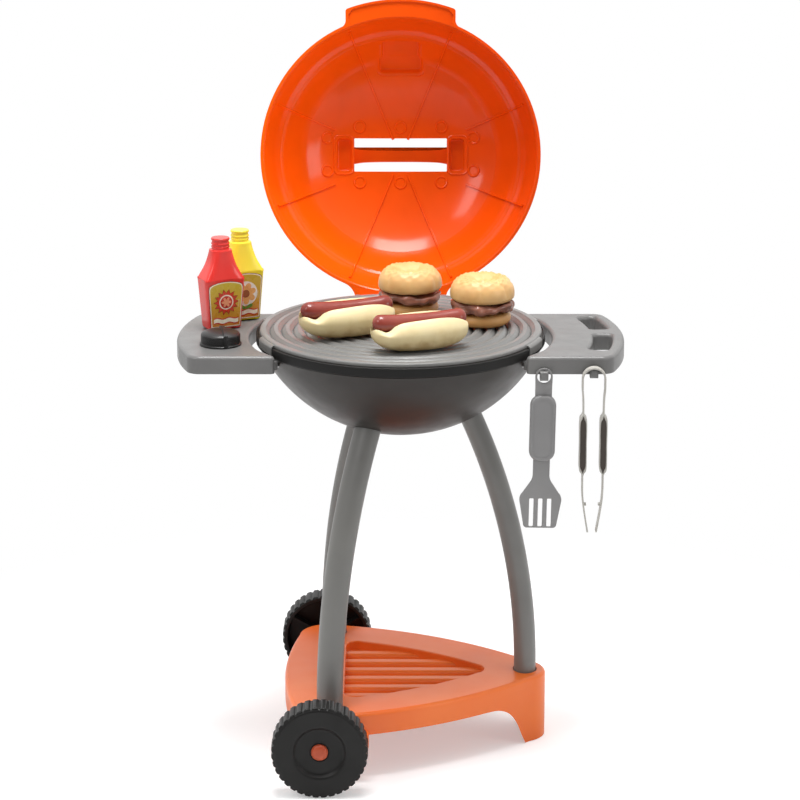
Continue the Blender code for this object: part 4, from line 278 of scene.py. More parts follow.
def cut(piece, tool, operation="DIFFERENCE"):
    """Cut one piece with another, or add it on, and take the tool away."""
    applied(piece, "BOOLEAN", operation=operation, object=tool, solver="MANIFOLD")
    bpy.data.objects.remove(tool, do_unlink=True)
    return piece


def add(piece, *more):
    for other in more:
        cut(piece, other, "UNION")
    return piece


def grouped(pieces):
    """Several loose meshes as one piece."""
    clear()
    for piece in pieces:
        piece.select_set(True)
    bpy.context.view_layer.objects.active = pieces[0]
    bpy.ops.object.join()
    return pieces[0]


def eased(edge, high, segments):
    """Insets and heights round a top edge, inwards, or outwards where the edge is below 0."""
    turns = [pi / 2 * step / segments for step in range(1, segments + 1)]
    return [(edge * (1 - cos(turn)), high - abs(edge) + abs(edge) * sin(turn)) for turn in turns]


def slab(name, outline, low, high, edge, segments=6, under=0.0):
    """An outline pulled up from ring to ring, its top edge rounded, and its foot too where under is given."""
    rings = [(under, low), (under * 0.3, low + under * 0.3)] if under else []
    rings += [(0, low + under), (0, high - edge)]
    return stacked(name, outline, rings + eased(edge, high, segments))


def flared(name, outline, low, high, edge, segments=5):
    """A cutter that widens at the top, so that the hole's upper edge is left round."""
    rings = [(0, low), (0, high - edge)] + eased(-edge, high, segments) + [(-edge, high + 0.004)]
    return stacked(name, outline, rings)


def copied(piece, name, matrix):
    take(piece)
    bpy.ops.object.duplicate()
    other = named(name)
    return laid(other, matrix)


def softened(piece, width, segments=3, angle=40):
    """Round every sharp edge."""
    return applied(piece, "BEVEL", width=width, segments=segments, limit_method="ANGLE",
                   angle_limit=radians(angle), use_clamp_overlap=True)


def bevelled(piece, width, segments, test):
    """Round the edges that pass a test of their two ends."""
    edit(piece)
    pick(lambda edge: test(edge.verts[0].co, edge.verts[1].co), "EDGE")
    bpy.ops.mesh.bevel(affect="EDGES", offset=width, segments=segments, clamp_overlap=True)
    clear()
    return piece


def settle(piece, body, finish, nodes, place=KETTLE, angle=34, weighted=True):
    """Put a finished piece on the frame, with its finish, on the body that carries it."""
    laid(piece, place)
    take(piece)
    bpy.ops.object.shade_smooth_by_angle(angle=radians(angle))
    if weighted:
        applied(piece, "WEIGHTED_NORMAL", keep_sharp=True)
    piece.data.materials.clear()
    piece.data.materials.append(FINISHES[finish])
    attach(piece, body)
    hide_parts(*nodes)
    clear()


# Outlines

def arc(radius, start, end, steps, centre=(0, 0)):
    return [(centre[0] + radius * cos(start + (end - start) * step / steps),
             centre[1] + radius * sin(start + (end - start) * step / steps)) for step in range(steps + 1)]


def curve(points, steps):
    """A smooth line through points, with so many steps between two of them."""
    points = [Vector(point) for point in points]
    line = []
    for index in range(len(points) - 1):
        a = points[max(index - 1, 0)]
        b, c = points[index], points[index + 1]
        d = points[min(index + 2, len(points) - 1)]
        for step in range(steps):
            t = step / steps
            line.append((b * 2 + (c - a) * t + (a * 2 - b * 5 + c * 4 - d) * t * t
                         + (b * 3 - a - c * 3 + d) * t * t * t) / 2)
    line.append(points[-1])
    return [tuple(point) for point in line]


def inside(line, distance):
    """A line moved to its left by a distance, square to itself."""
    moved = []
    for index, point in enumerate(line):
        before = Vector(line[max(index - 1, 0)])
        after = Vector(line[min(index + 1, len(line) - 1)])
        way = (after - before).normalized()
        moved.append((point[0] - way.y * distance, point[1] + way.x * distance))
    return moved


def shrunk(outline, distance):
    """A closed outline, drawn anticlockwise, moved inwards."""
    count = len(outline)
    moved = []
    for index, point in enumerate(outline):
        here = Vector(point)
        before = (here - Vector(outline[index - 1])).normalized()
        after = (Vector(outline[(index + 1) % count]) - here).normalized()
        normal = Vector((-before.y - after.y, before.x + after.x)).normalized()
        spread = max(0.35, normal.dot(Vector((-before.y, before.x))))
        moved.append((here.x + normal.x * distance / spread, here.y + normal.y * distance / spread))
    return moved


def rounded(corners, steps=6):
    """An outline whose corners, given as (x, y, radius), are round."""
    outline = []
    count = len(corners)
    for index, (x, y, radius) in enumerate(corners):
        here = Vector((x, y))
        back = (Vector(corners[index - 1][:2]) - here).normalized()
        ahead = (Vector(corners[(index + 1) % count][:2]) - here).normalized()
        half = acos(max(-1, min(1, back.dot(ahead)))) / 2
        centre = here + (back + ahead).normalized() * radius / sin(half)
        first = here + back * radius / tan(half) - centre
        last = here + ahead * radius / tan(half) - centre
        start = atan2(first.y, first.x)
        turn = (atan2(last.y, last.x) - start + pi) % (2 * pi) - pi
        outline += arc(radius, start, start + turn, steps, centre)
    return outline


def oblong(low_x, low_y, high_x, high_y, radius, steps):
    """A rectangle with round corners."""
    return rounded([(low_x, low_y, radius), (high_x, low_y, radius), (high_x, high_y, radius),
                    (low_x, high_y, radius)], steps)


def toothed(count, teeth, middle=0):
    """A ring of points round a middle on the second axis, each tooth of (radius, share of the turn)."""
    turns = [(radius, 2 * pi * (tooth + share) / count) for tooth in range(count) for radius, share in teeth]
    return [(radius * cos(turn), middle + radius * sin(turn)) for radius, turn in turns]


def mirrored(line):
    """A line's other half, back to its start."""
    return [(-x, y) for x, y in reversed(line)]


def bell(away, power=2):
    """A hump that is 1 in the middle and dies away."""
    return 2.718 ** (-away ** power)


def bulged(start, end, bulge, steps):
    """Points between two corners on a curve that stands out to the right of the way."""
    chord = Vector(end) - Vector(start)
    side = Vector((chord.y, -chord.x)).normalized()
    line = []
    for step in range(1, steps):
        share = step / steps
        out = bulge * (1 - (2 * share - 1) ** 2)
        line.append((start[0] + chord.x * share + side.x * out, start[1] + chord.y * share + side.y * out))
    return line


# Finishes

def linear(colour):
    """A colour written as 0 to 255 for the screen, as the shader wants it."""
    return [(part / 255 / 12.92 if part <= 10 else ((part / 255 + 0.055) / 1.055) ** 2.4)
            for part in colour] + [1]


class Tree:
    """The nodes of a material or a world, laid out one after another from a coordinate."""

    def __init__(self, holder, coordinate):
        holder.use_nodes = True
        self.nodes, self.links = holder.node_tree.nodes, holder.node_tree.links
        self.place = self.new("ShaderNodeTexCoord").outputs[coordinate]

    def new(self, kind, values=None, **settings):
        node = self.nodes.new(kind)
        for key, value in settings.items():
            setattr(node, key, value)
        for socket, value in (values or {}).items():
            node.inputs[socket].default_value = value
        return node

    def link(self, start, end):
        self.links.new(start, end)

    def spread(self, value, low, high, start=0.3, end=0.7, **settings):
        """Bring a value from one range to another."""
        node = self.new("ShaderNodeMapRange", {"From Min": start, "From Max": end, "To Min": low,
                                               "To Max": high}, **settings)
        self.link(value, node.inputs["Value"])
        return node.outputs["Result"]

    def along(self, way, start, end, low=0, high=1):
        """A value that rises from one distance to another along a direction."""
        node = self.new("ShaderNodeVectorMath", {1: way}, operation="DOT_PRODUCT")
        self.link(self.place, node.inputs[0])
        return self.spread(node.outputs["Value"], low, high, start, end)

    def sum(self, operation, one, other, **settings):
        """One value from two, of which the second may be a plain number."""
        node = self.new("ShaderNodeMath", operation=operation, **settings)
        self.link(one, node.inputs[0])
        if isinstance(other, float):
            node.inputs[1].default_value = other
        else:
            self.link(other, node.inputs[1])
        return node.outputs[0]


class Finish(Tree):
    """A material whose pattern follows the piece's own Object coordinates."""

    def __init__(self, name, roughness=0.4, **sockets):
        self.material = bpy.data.materials.new(name)
        super().__init__(self.material, "Object")
        self.shader = self.nodes["Principled BSDF"]
        self.shader.inputs["Roughness"].default_value = roughness
        for socket, value in sockets.items():
            self.shader.inputs[socket.replace("_", " ")].default_value = value

    def noise(self, scale, detail=2, roughness=0.5, distortion=0):
        """Cloudy values from 0 to 1, with so many clouds to the metre."""
        node = self.new("ShaderNodeTexNoise", {"Scale": scale, "Detail": detail, "Roughness": roughness,
                                               "Distortion": distortion})
        self.link(self.place, node.inputs["Vector"])
        return node.outputs["Fac"]

    def ramp(self, value, *stops):
        """Turn a value into colours, given as (place, colour)."""
        node = self.new("ShaderNodeValToRGB")
        for element, (place, colour) in zip(node.color_ramp.elements, (stops[0], stops[-1])):
            element.position = place
            element.color = linear(colour)
        for place, colour in stops[1:-1]:
            node.color_ramp.elements.new(place).color = linear(colour)
        self.link(value, node.inputs["Fac"])
        return node.outputs["Color"]

    def multiplied(self, share, one, other):
        """One colour darkened by another, by a share."""
        node = self.new("ShaderNodeMix", {"Factor": share}, data_type="RGBA", blend_type="MULTIPLY")
        self.link(one, node.inputs["A"])
        self.link(other, node.inputs["B"])
        return node.outputs["Result"]

    def paint(self, colour):
        self.link(colour, self.shader.inputs["Base Color"])

    def gloss(self, low, high, scale=45):
        """Roughness that wanders a little, as hands and the mould leave it."""
        self.link(self.spread(self.noise(scale, 3), low, high), self.shader.inputs["Roughness"])

    def grain(self, *layers):
        """Bumps one over another, each (scale, strength, depth in metres)."""
        below = None
        for scale, strength, depth in layers:
            node = self.new("ShaderNodeBump", {"Strength": strength, "Distance": depth})
            self.link(self.noise(scale, 3), node.inputs["Height"])
            if below:
                self.link(below, node.inputs["Normal"])
            below = node.outputs["Normal"]
        self.link(below, self.shader.inputs["Normal"])


def moulded(name, dark, middle, light, low, high, grain, scale=7, specular=0.5):
    """Moulded plastic: slow shade from place to place, a soft sheen and a fine mould grain."""
    finish = Finish(name, Specular_IOR_Level=specular)
    finish.paint(finish.ramp(finish.noise(scale, 4, roughness=0.55), (0.25, dark), (0.5, middle),
                             (0.78, light)))
    finish.gloss(low, high)
    finish.grain((1500, grain, 0.0002), (60, 0.05, 0.0006))
    return finish.material


def lid_plastic():
    """Glossy orange with painted light: an emitted glow, stronger higher up, stands in for light through the
    thin plastic, and painted shade runs lighter and yellower to the lower left, darker and redder to the
    upper right, with faint streaks.
    """
    # The emission is a painted glow: the lid gives off light of its own in place of light shining through it.
    finish = Finish("lid_plastic", Specular_IOR_Level=0.24, Coat_Weight=0.1, Coat_Roughness=0.05,
                    Emission_Strength=0.3)
    # Painted shade across the lid: lighter and yellower towards the lower left, darker and redder towards the
    # upper right.
    side = finish.along((0.75, 0, 0.45), -0.05, 0.45)
    base = finish.ramp(side, (0, (247, 106, 9)), (0.45, (240, 88, 6)), (1, (200, 62, 9)))
    clouds = finish.ramp(finish.noise(9, 4, distortion=0.6), (0.2, (212, 212, 212)), (0.55, (246, 246, 246)),
                         (0.85, (255, 255, 255)))
    colour = finish.multiplied(0.55, base, clouds)
    finish.paint(colour)
    # Painted glow, stronger higher up: the emitted colour is the lid's colour, dimmer lower down.
    glow = finish.ramp(finish.along((-0.25, 0, 0.97), 0.44, 0.74), (0, (96, 96, 96)), (1, (255, 255, 255)))
    finish.link(finish.multiplied(1.0, colour, glow), finish.shader.inputs["Emission Color"])
    finish.gloss(0.13, 0.2, 30)
    finish.grain((45, 0.07, 0.0008), (1300, 0.04, 0.0002))
    return finish.material


# Plain mouldings: name, three shades, roughness from and to, grain, cloud scale and shine
MOULDINGS = {
    "orange_tray": ("tray", (240, 106, 34), (244, 114, 40), (248, 126, 50), 0.3, 0.37, 0.02),
    "cap_orange": ("cap", (164, 62, 30), (184, 76, 40), (200, 92, 54), 0.4, 0.52, 0.3, 60),
    "kettle_black": ("kettle", (36, 33, 30), (42, 38, 35), (49, 45, 41), 0.34, 0.44, 0.2, 7, 0.36),
    "band_black": ("band", (15, 14, 13), (19, 18, 17), (26, 24, 23), 0.4, 0.52, 0.2, 7, 0.3),
    "shelf_grey": ("shelf", (102, 102, 101), (110, 109, 108), (118, 117, 115), 0.3, 0.42, 0.35),
    "grate_grey": ("grate", (110, 109, 107), (119, 118, 116), (128, 127, 125), 0.32, 0.44, 0.3),
    "leg_grey": ("leg", (110, 109, 106), (119, 118, 115), (127, 126, 122), 0.32, 0.42, 0.25),
    "wheel_grey": ("wheel", (20, 19, 18), (25, 24, 23), (32, 30, 29), 0.36, 0.5, 0.3, 7, 0.3),
    "knob_black": ("knob", (22, 21, 21), (28, 27, 27), (36, 35, 34), 0.3, 0.42, 0.3),
    "ketchup_red": ("ketchup", (212, 42, 38), (224, 52, 46), (232, 64, 57), 0.16, 0.24, 0.06),
    "mustard_yellow": ("mustard", (244, 220, 46), (250, 230, 60), (253, 236, 78), 0.16, 0.24, 0.06),
    "sausage_brown": ("sausage", (120, 46, 38), (138, 60, 50), (152, 74, 61), 0.14, 0.22, 0.05, 25),
    "patty_brown": ("patty", (108, 66, 52), (142, 90, 73), (162, 108, 89), 0.16, 0.26, 0.04, 60),
    "tool_grey": ("tool", (124, 123, 123), (134, 133, 133), (143, 142, 141), 0.36, 0.46, 0.25),
    "tongs_silver": ("tongs", (168, 165, 158), (184, 181, 174), (196, 193, 186), 0.32, 0.42, 0.15),
    "grip_brown": ("grip", (50, 42, 36), (60, 51, 44), (70, 60, 52), 0.42, 0.55, 0.3),
}
INKS = {"dark_red": (120, 30, 22), "red": (196, 44, 34), "cream": (238, 228, 208), "pale": (236, 230, 222),
        "ember": (206, 62, 38), "blush": (232, 150, 110), "leaf_green": (92, 132, 40),
        "wheat": (222, 164, 96), "bark": (150, 84, 40)}


def make_finishes():
    finishes = {
        "orange_lid": lid_plastic(),
        "steel": steel(),
        "label_gold": label_paper("label_gold_paper", (196, 110, 34), (206, 158, 46), (200, 172, 60)),
        "bread": bread("hot_dog_bun", (186, 154, 102), (222, 201, 150), (231, 214, 168)),
        "roll": bread("burger_bun", (202, 146, 84), (213, 161, 98), (222, 177, 117)),
    }
    for slot, (name, *values) in MOULDINGS.items():
        finishes[slot] = moulded(name + "_plastic", *values)
    for ink, colour in INKS.items():
        finishes["ink_" + ink] = print_ink("label_" + ink, colour)
    return finishes


def steel():
    """Plated screws and pins, with fine turning marks."""
    finish = Finish("plated_steel", Metallic=1.0)
    finish.paint(finish.ramp(finish.noise(90, 3), (0.3, (150, 150, 150)), (0.7, (200, 199, 196))))
    finish.gloss(0.25, 0.4, 200)
    finish.grain((2500, 0.15, 0.0001))
    return finish.material


def bread(name, crust_and_low_shade, middle, pale):
    """Play bread: pale on top and darker low down, that darkening a painted shade, browned at random places,
    with a finely dimpled skin.
    """
    finish = Finish(name, Subsurface_Weight=0.12, Subsurface_Scale=0.004)
    finish.shader.inputs["Subsurface Radius"].default_value = (1.0, 0.5, 0.25)
    # Painted shade: the colour darkens to the crust colour towards the foot, where shade falls.
    low = finish.along((0, 0, 1), 0.5, 0.53)
    patches = finish.spread(finish.noise(55, 4), -0.25, 0.25)
    total = finish.sum("ADD", low, patches, use_clamp=True)
    finish.paint(finish.ramp(total, (0, crust_and_low_shade), (0.5, middle), (1, pale)))
    finish.gloss(0.36, 0.5, 80)
    finish.grain((420, 0.12, 0.0005), (1600, 0.1, 0.0002))
    return finish.material


def label_paper(name, low, middle, high):
    """A printed sticker whose ground shades from brown at the foot to gold at the top."""
    finish = Finish(name)
    shade = finish.along((0, 0, 1), 0.493, 0.545)
    specks = finish.spread(finish.noise(1800, 2), -0.08, 0.08)
    total = finish.sum("ADD", shade, specks, use_clamp=True)
    finish.paint(finish.ramp(total, (0, low), (0.55, middle), (1, high)))
    finish.gloss(0.22, 0.34, 120)
    finish.grain((1200, 0.05, 0.0001))
    return finish.material


def print_ink(name, colour):
    """A printed colour of the labels, with the faint unevenness of ink."""
    light = [min(255, part + 12) for part in colour]
    dark = [max(0, part - 14) for part in colour]
    return moulded(name, dark, colour, light, 0.22, 0.34, 0.05, 300)


# Camera, light and floor

def make_camera():
    place = KETTLE @ Vector((-0.0007, -3.5667, 1.4242))
    clear()
    bpy.ops.object.camera_add(location=place, rotation=(radians(74.16), 0, 0))
    camera = bpy.context.object
    camera.data.lens = 143.6
    camera.data.clip_end = 60
    bpy.context.scene.camera = camera


def softbox(name, place, aim, width, height, power):
    clear()
    bpy.ops.object.light_add(type="AREA", location=place)
    lamp = named(name)
    lamp.data.shape = "RECTANGLE"
    lamp.data.size = width
    lamp.data.size_y = height
    lamp.data.energy = power
    lamp.rotation_euler = (Vector(aim) - Vector(place)).to_track_quat("-Z", "Y").to_euler()


def make_light():
    """Three softboxes, and a white sweep behind and above the grill that darkens towards the camera."""
    bpy.context.scene.view_settings.view_transform = "Standard"
    softbox("key_softbox", (-1.7, -1.5, 2.1), (0, 0, 0.5), 0.6, 1.2, 13.5)
    softbox("fill_softbox", (2.3, -1.6, 1.25), (0, 0, 0.5), 0.8, 0.9, 9.5)
    softbox("top_softbox", (0.0, -0.2, 2.4), (0, 0, 0.45), 0.9, 0.9, 45)
    world = bpy.data.worlds.new("studio")
    bpy.context.scene.world = world
    room = Tree(world, "Generated")
    seen = room.new("ShaderNodeLightPath").outputs["Is Camera Ray"]
    strength = room.sum("MAXIMUM", seen, room.along((0, 0.72, 0.69), -0.35, 0.5, 0.1, 1.0))
    shade = room.nodes["Background"]
    shade.inputs["Color"].default_value = (1, 1, 1, 1)
    room.link(strength, shade.inputs["Strength"])


def make_floor():
    """A pale floor that keeps the soft shadow near the grill and is plain white further off."""
    clear()
    bpy.ops.mesh.primitive_plane_add(size=60, location=(0, 0, -0.0004))
    floor = named("studio_floor")
    kept()
    paper = Finish("floor_paper", 0.9, Base_Color=(0.78, 0.78, 0.78, 1), Specular_IOR_Level=0.1)
    seen = paper.new("ShaderNodeLightPath").outputs["Is Camera Ray"]
    glow, white = paper.new("ShaderNodeEmission"), paper.new("ShaderNodeEmission")
    paper.link(paper.sum("MULTIPLY", seen, 0.36), glow.inputs["Strength"])
    paper.link(seen, white.inputs["Strength"])
    near = paper.new("ShaderNodeAddShader")
    paper.link(paper.shader.outputs[0], near.inputs[0])
    paper.link(glow.outputs[0], near.inputs[1])
    distance = paper.new("ShaderNodeVectorMath", operation="LENGTH")
    paper.link(paper.place, distance.inputs[0])
    fade = paper.spread(distance.outputs["Value"], 0, 1, 0.3, 0.75, interpolation_type="SMOOTHSTEP")
    mixed = paper.new("ShaderNodeMixShader")
    paper.link(paper.sum("MULTIPLY", fade, seen), mixed.inputs[0])
    paper.link(near.outputs[0], mixed.inputs[1])
    paper.link(white.outputs[0], mixed.inputs[2])
    paper.link(mixed.outputs[0], paper.nodes["Material Output"].inputs["Surface"])
    floor.data.materials.append(paper.material)


# Kettle

BOWL_CENTRE_Z = 0.5585
BOWL_RADIUS = 0.181
SIDE_TOP_Z = 0.484
RIM_TOP_Z = 0.495
RIM_RADIUS = 0.16416
BAND_RADIUS = 0.16676


def bowl_side(radius, steps=36):
    """The bowl's round from its lowest point to its side's top."""
    top = acos((BOWL_CENTRE_Z - SIDE_TOP_Z) / radius)
    return [(radius * sin(top * step / steps), BOWL_CENTRE_Z - radius * cos(top * step / steps))
            for step in range(steps + 1)]


def bowl_round(steps, count):
    """A ball that clears the bowl, to cut what meets it."""
    radius = BOWL_RADIUS + CLEARANCE
    return turned("bowl_round", [(radius * sin(pi * step / steps),
                                  BOWL_CENTRE_Z - radius * cos(pi * step / steps))
                                 for step in range(steps + 1)], count)


def make_bowl():
    outer = bowl_side(BOWL_RADIUS)
    side = outer[-1][0]
    inner = list(reversed(bowl_side(BOWL_RADIUS - 0.003)))
    inner_rim = RIM_RADIUS - 0.003
    profile = outer[:-1] + [(side - 0.0001, SIDE_TOP_Z - 0.0006), (side - 0.0004, SIDE_TOP_Z - 0.0001),
                            (RIM_RADIUS, SIDE_TOP_Z), (RIM_RADIUS, RIM_TOP_Z - 0.0007),
                            (RIM_RADIUS - 0.0006, RIM_TOP_Z), (inner_rim + 0.0006, RIM_TOP_Z),
                            (inner_rim, RIM_TOP_Z - 0.0007), (inner_rim, SIDE_TOP_Z)] + inner[1:]
    bowl = turned("bowl_shell", profile, 160)
    settle(bowl, "stand", "kettle_black", ["bowl"], weighted=False)


HOOK_ANGLES = [radians(angle) for angle in (21, -21, 159, 201)]


def make_band():
    low, high = SIDE_TOP_Z + CLEARANCE, RIM_TOP_Z
    inner = RIM_RADIUS + CLEARANCE
    profile = [(inner, low), (BAND_RADIUS - 0.0009, low), (BAND_RADIUS - 0.0002, low + 0.0003),
               (BAND_RADIUS, low + 0.001), (BAND_RADIUS, high - 0.0012),
               (BAND_RADIUS - 0.0003, high - 0.0004), (BAND_RADIUS - 0.0011, high), (inner, high)]
    band = turned("rim_band_ring", profile, 192, closed=True)
    for angle in HOOK_ANGLES:
        notch = sector("notch", [(RIM_RADIUS - 0.003, low + 0.002), (BAND_RADIUS + 0.004, low + 0.002),
                                 (BAND_RADIUS + 0.004, high + 0.004), (RIM_RADIUS - 0.003, high + 0.004)],
                       angle - radians(8), angle + radians(8), 12)
        cut(band, notch)
    softened(band, 0.0005, 2, 50)
    settle(band, "stand", "band_black", ["rim_band"])


def make_grate():
    """Ring ridges over a plate, with an upright edge and four hooks over the rim."""
    top, depth, pitch = 0.5, 0.005, 0.0135
    edge = RIM_RADIUS - 0.0016
    profile = [(0, top - depth - 0.0022), (0.1585, top - depth - 0.0022), (0.1589, 0.4953),
               (edge - 0.0005, 0.4953), (edge, 0.4957), (edge, top - 0.0024),
               (edge - 0.0004, top - 0.0011), (edge - 0.0013, top - 0.0003), (edge - 0.003, top)]
    groove = edge - pitch + 0.0015
    profile.append((groove + 0.0045, top))
    steps = (1, 0.86, 0.7, 0.54, 0.4, 0.28, 0.16, 0.06)
    for ridge in range(11):
        centre = groove - ridge * pitch
        for step in steps + (0,) + tuple(-step for step in reversed(steps)):
            profile.append((centre + 0.0046 * step, top - depth * (1 - abs(step) ** 0.55) ** 0.75))
    profile.append((0, top))
    grate = turned("grate_plate", profile, 144)
    hooks = []
    for angle in HOOK_ANGLES:
        hook = sector("hook", [(0.158, 0.4954), (0.16516, 0.4954), (0.16516, 0.4868), (0.16656, 0.4868),
                               (0.16686, 0.4872), (0.16686, 0.4945), (0.1663, 0.4962), (0.165, 0.4976),
                               (0.1632, 0.4985), (0.158, 0.4988)],
                      angle - radians(7.4), angle + radians(7.4), 14)
        softened(hook, 0.001, 3, 45)
        hooks.append(hook)
    grate = grouped([grate] + hooks)
    settle(grate, "grate", "grate_grey", ["grate"])


# Lid, modelled closed and then swung open

LID_RADIUS = 0.16946
LID_RIM_Z = 0.4985
LID_HEIGHT = 0.1075
LID_WALL = 0.003
LIP_REACH = 0.0178
LIP_HALF = 0.0665
HANDLE_TOP_Z = 0.6315
BAR_THICKNESS = 0.0065
POST_INNER = 0.0575
POST_OUTER = 0.082
POST_HALF = 0.0235
HANDLE_SHIFT = shift((0, -0.0028, 0))


def lid_profile():
    """The lid's outer line in three tiers, rim to crown, each tier set in a little from the last."""
    tiers = (
        ((1.0, 0.0), (1.0, 0.02), (1.0, 0.045)),
        ((0.986, 0.06), (0.979, 0.12), (0.964, 0.2), (0.945, 0.28), (0.918, 0.38), (0.878, 0.482)),
        ((0.86, 0.499), (0.838, 0.545), (0.812, 0.592), (0.75, 0.69), (0.699, 0.757)),
        ((0.681, 0.773), (0.59, 0.845), (0.44, 0.925), (0.26, 0.977), (0.12, 0.995), (0.0, 1.0)),
    )
    line = []
    for tier in tiers:
        line += curve(tier, 5 if len(tier) > 3 else 2)
    return [(share * LID_RADIUS, LID_RIM_Z + up * LID_HEIGHT) for share, up in line]


def lid_under(radius):
    """The height of the lid's inner face at a distance from its axis."""
    line = inside(lid_profile(), LID_WALL)
    for (near, high), (far, low) in zip(reversed(line), list(reversed(line))[1:]):
        if far >= radius:
            share = (radius - near) / max(far - near, 1e-9)
            return high + (low - high) * max(0, share)
    return LID_RIM_Z


def lip_plate():
    """The scoop at the front of the rim, blended into the rim's circle by a hollow curve each side."""
    outer, rim = LID_RADIUS + LIP_REACH, LID_RADIUS - 0.0004
    front = -sqrt(outer ** 2 - LIP_HALF ** 2)
    join, end = asin(LIP_HALF / LID_RADIUS), asin(LIP_HALF / outer) - 0.02
    wide = join + radians(6)
    down = -pi / 2
    outline = arc(rim, down - wide, down - join, 3) + [(-LIP_HALF, front)]
    outline += arc(outer, down - end, down + end, 24) + [(LIP_HALF, front)]
    outline += arc(rim, down + join, down + wide, 3) + arc(LID_RADIUS - 0.004, down + wide, down - wide, 24)
    corners = [(side * LIP_HALF, front, 0.0026, 5) for side in (-1, 1)]
    corners += [(side * LIP_HALF, -LID_RADIUS * cos(join), 0.006, 6) for side in (-1, 1)]
    return raised("lip", outline, LID_RIM_Z + 0.00005, LID_RIM_Z + 0.0042, 0.0012, 3, corners)


def lip_hollow():
    """The dished underside of the lip, inside its bead."""
    outer, half = LID_RADIUS + LIP_REACH - 0.0026, LIP_HALF - 0.003
    front = -sqrt(outer ** 2 - half ** 2) + 0.005
    end, join = asin(half / outer) - 0.03, asin(half / LID_RADIUS)
    down = -pi / 2
    outline = arc(outer, down - end, down + end, 24) + [(half, front)]
    outline += arc(LID_RADIUS - 0.0045, down + join, down - join, 20) + [(-half, front)]
    return raised("lip_hollow", outline, LID_RIM_Z - 0.003, LID_RIM_Z + 0.0024, 0.0008, 2)


def tab_plate():
    """The flat tab at the back of the rim, flaring out of it and on to the hinge."""
    half, flare = 0.0545, 0.022
    inner = LID_RADIUS - 0.002
    centre = (half + flare, sqrt((LID_RADIUS + flare) ** 2 - (half + flare) ** 2))
    turn = atan2(centre[1], centre[0])
    outline = arc(inner, turn, pi - turn, 20)
    left = arc(flare, -pi / 2 + (pi / 2 - turn), 0, 8, (-centre[0], centre[1]))
    outline += left + [(-half, HINGE.y), (half, HINGE.y)] + mirrored(left)
    return raised("tab", outline, LID_RIM_Z + 0.00005, LID_RIM_Z + 0.004, 0.0008, 2,
                  [(-half, HINGE.y, 0.003, 4), (half, HINGE.y, 0.003, 4)])


def knuckle():
    """The tab's edge rolled down round the pin."""
    top, radius, half = LID_RIM_Z + 0.002, 0.0052, 0.048
    line = arc(radius, pi, pi + radians(280), 28, (HINGE.y, HINGE.z))
    line += [(line[-1][0], top), (HINGE.y - radius, top)]
    return softened(pushed("knuckle", [(-half, y, z) for y, z in line], (2 * half, 0, 0)), 0.0006, 2, 60)


HOUSING_PLACE = (shift((0, -LID_RADIUS * 0.68, LID_RIM_Z + LID_HEIGHT * 0.765))
                 @ turn_by(radians(36), "X"))


def housing_hollow(name, half_x, low_y, high_y, high):
    """A cutter for the housing's inside, widening where it breaks through the lid's inner face."""
    face, edge = -0.004, 0.0034
    rings = [(-edge, -0.024), (-edge, face)]
    rings += [(-edge * (1 - sin(angle)), face + edge * (1 - cos(angle)))
              for angle in (pi / 2 * step / 5 for step in range(1, 6))]
    rings += [(0, high - 0.002), (0.0006, high - 0.0006), (0.002, high)]
    return laid(stacked(name, oblong(-half_x, low_y, half_x, high_y, 0.0045, 6), rings), HOUSING_PLACE)


def handle_bar():
    """The bar over the finger opening, flared where it meets the posts."""
    half = curve([(-0.0705, 0.0125), (-0.062, 0.0118), (-0.056, 0.0104), (-0.046, 0.0089), (-0.025, 0.0082),
                  (0, 0.0081)], 3)
    upper = half + mirrored(half[:-1])
    outline = [(x, -y) for x, y in upper] + upper[::-1]
    bar = raised("bar", outline, HANDLE_TOP_Z - BAR_THICKNESS, HANDLE_TOP_Z)
    return bevelled(bar, 0.0024, 4, lambda a, b: abs(a.z - b.z) < 1e-6)


def rim_rib(angle, start, end):
    """A thin mould rib along the lid's inner face, out from the middle."""
    rings = []
    for step in range(19):
        reach = start + (end - start) * step / 18
        height = lid_under(reach)
        slope = (lid_under(min(reach + 0.001, end)) - lid_under(reach - 0.001)) / 0.002
        down = Vector((slope, 0, -1)).normalized()
        middle = Vector((reach, 0, height))
        ring = [middle - down * 0.0008 + Vector((0, 0.0017, 0)),
                middle + down * 0.0022 + Vector((0, 0.0008, 0)),
                middle + down * 0.0022 - Vector((0, 0.0008, 0)),
                middle - down * 0.0008 - Vector((0, 0.0017, 0))]
        turn = Matrix.Rotation(angle, 3, "Z")
        rings.append([turn @ point for point in ring])
    return lofted("rim_rib", rings)


def opening_bead(side):
    """A low round bead on the inner face, round the hollow of one post."""
    path = [(side * x, y) for x, y in oblong(0.0588, -0.0238, 0.0822, 0.0238, 0.006, 7)]
    path.append(path[0])
    rings = []
    for index, (x, y) in enumerate(path):
        before, after = Vector(path[max(index - 1, 0)]), Vector(path[min(index + 1, len(path) - 1)])
        way = (after - before).normalized()
        across = Vector((way.y, -way.x, 0))
        middle = Vector((x, y, lid_under(sqrt(x * x + y * y))))
        rings.append([middle + across * (0.0013 * cos(angle)) - Vector((0, 0, 0.0013 * sin(angle)))
                      for angle in (-0.6, 0.3, 0.9, pi / 2, pi - 0.9, pi - 0.3, pi + 0.6)])
    return laid(lofted("opening_bead", rings), HANDLE_SHIFT)


def mould_disc(x, y):
    """A round mark that the mould's ejector leaves on the inner face."""
    reach = sqrt(x * x + y * y)
    height = lid_under(reach)
    slope = (lid_under(reach + 0.004) - lid_under(reach - 0.004)) / 0.008
    disc = turned("disc", [(0, -0.0004), (0.005, -0.0004), (0.0056, -0.0008), (0.0062, -0.0017),
                           (0.007, -0.0019), (0.0077, -0.0014), (0.0083, 0.0), (0.0086, 0.002),
                           (0, 0.002)], 40)
    tilt = turn_by(-atan2(slope, 1), "Y")
    return laid(disc, turn_by(atan2(y, x)) @ shift((reach, 0, height + 0.0001)) @ tilt)


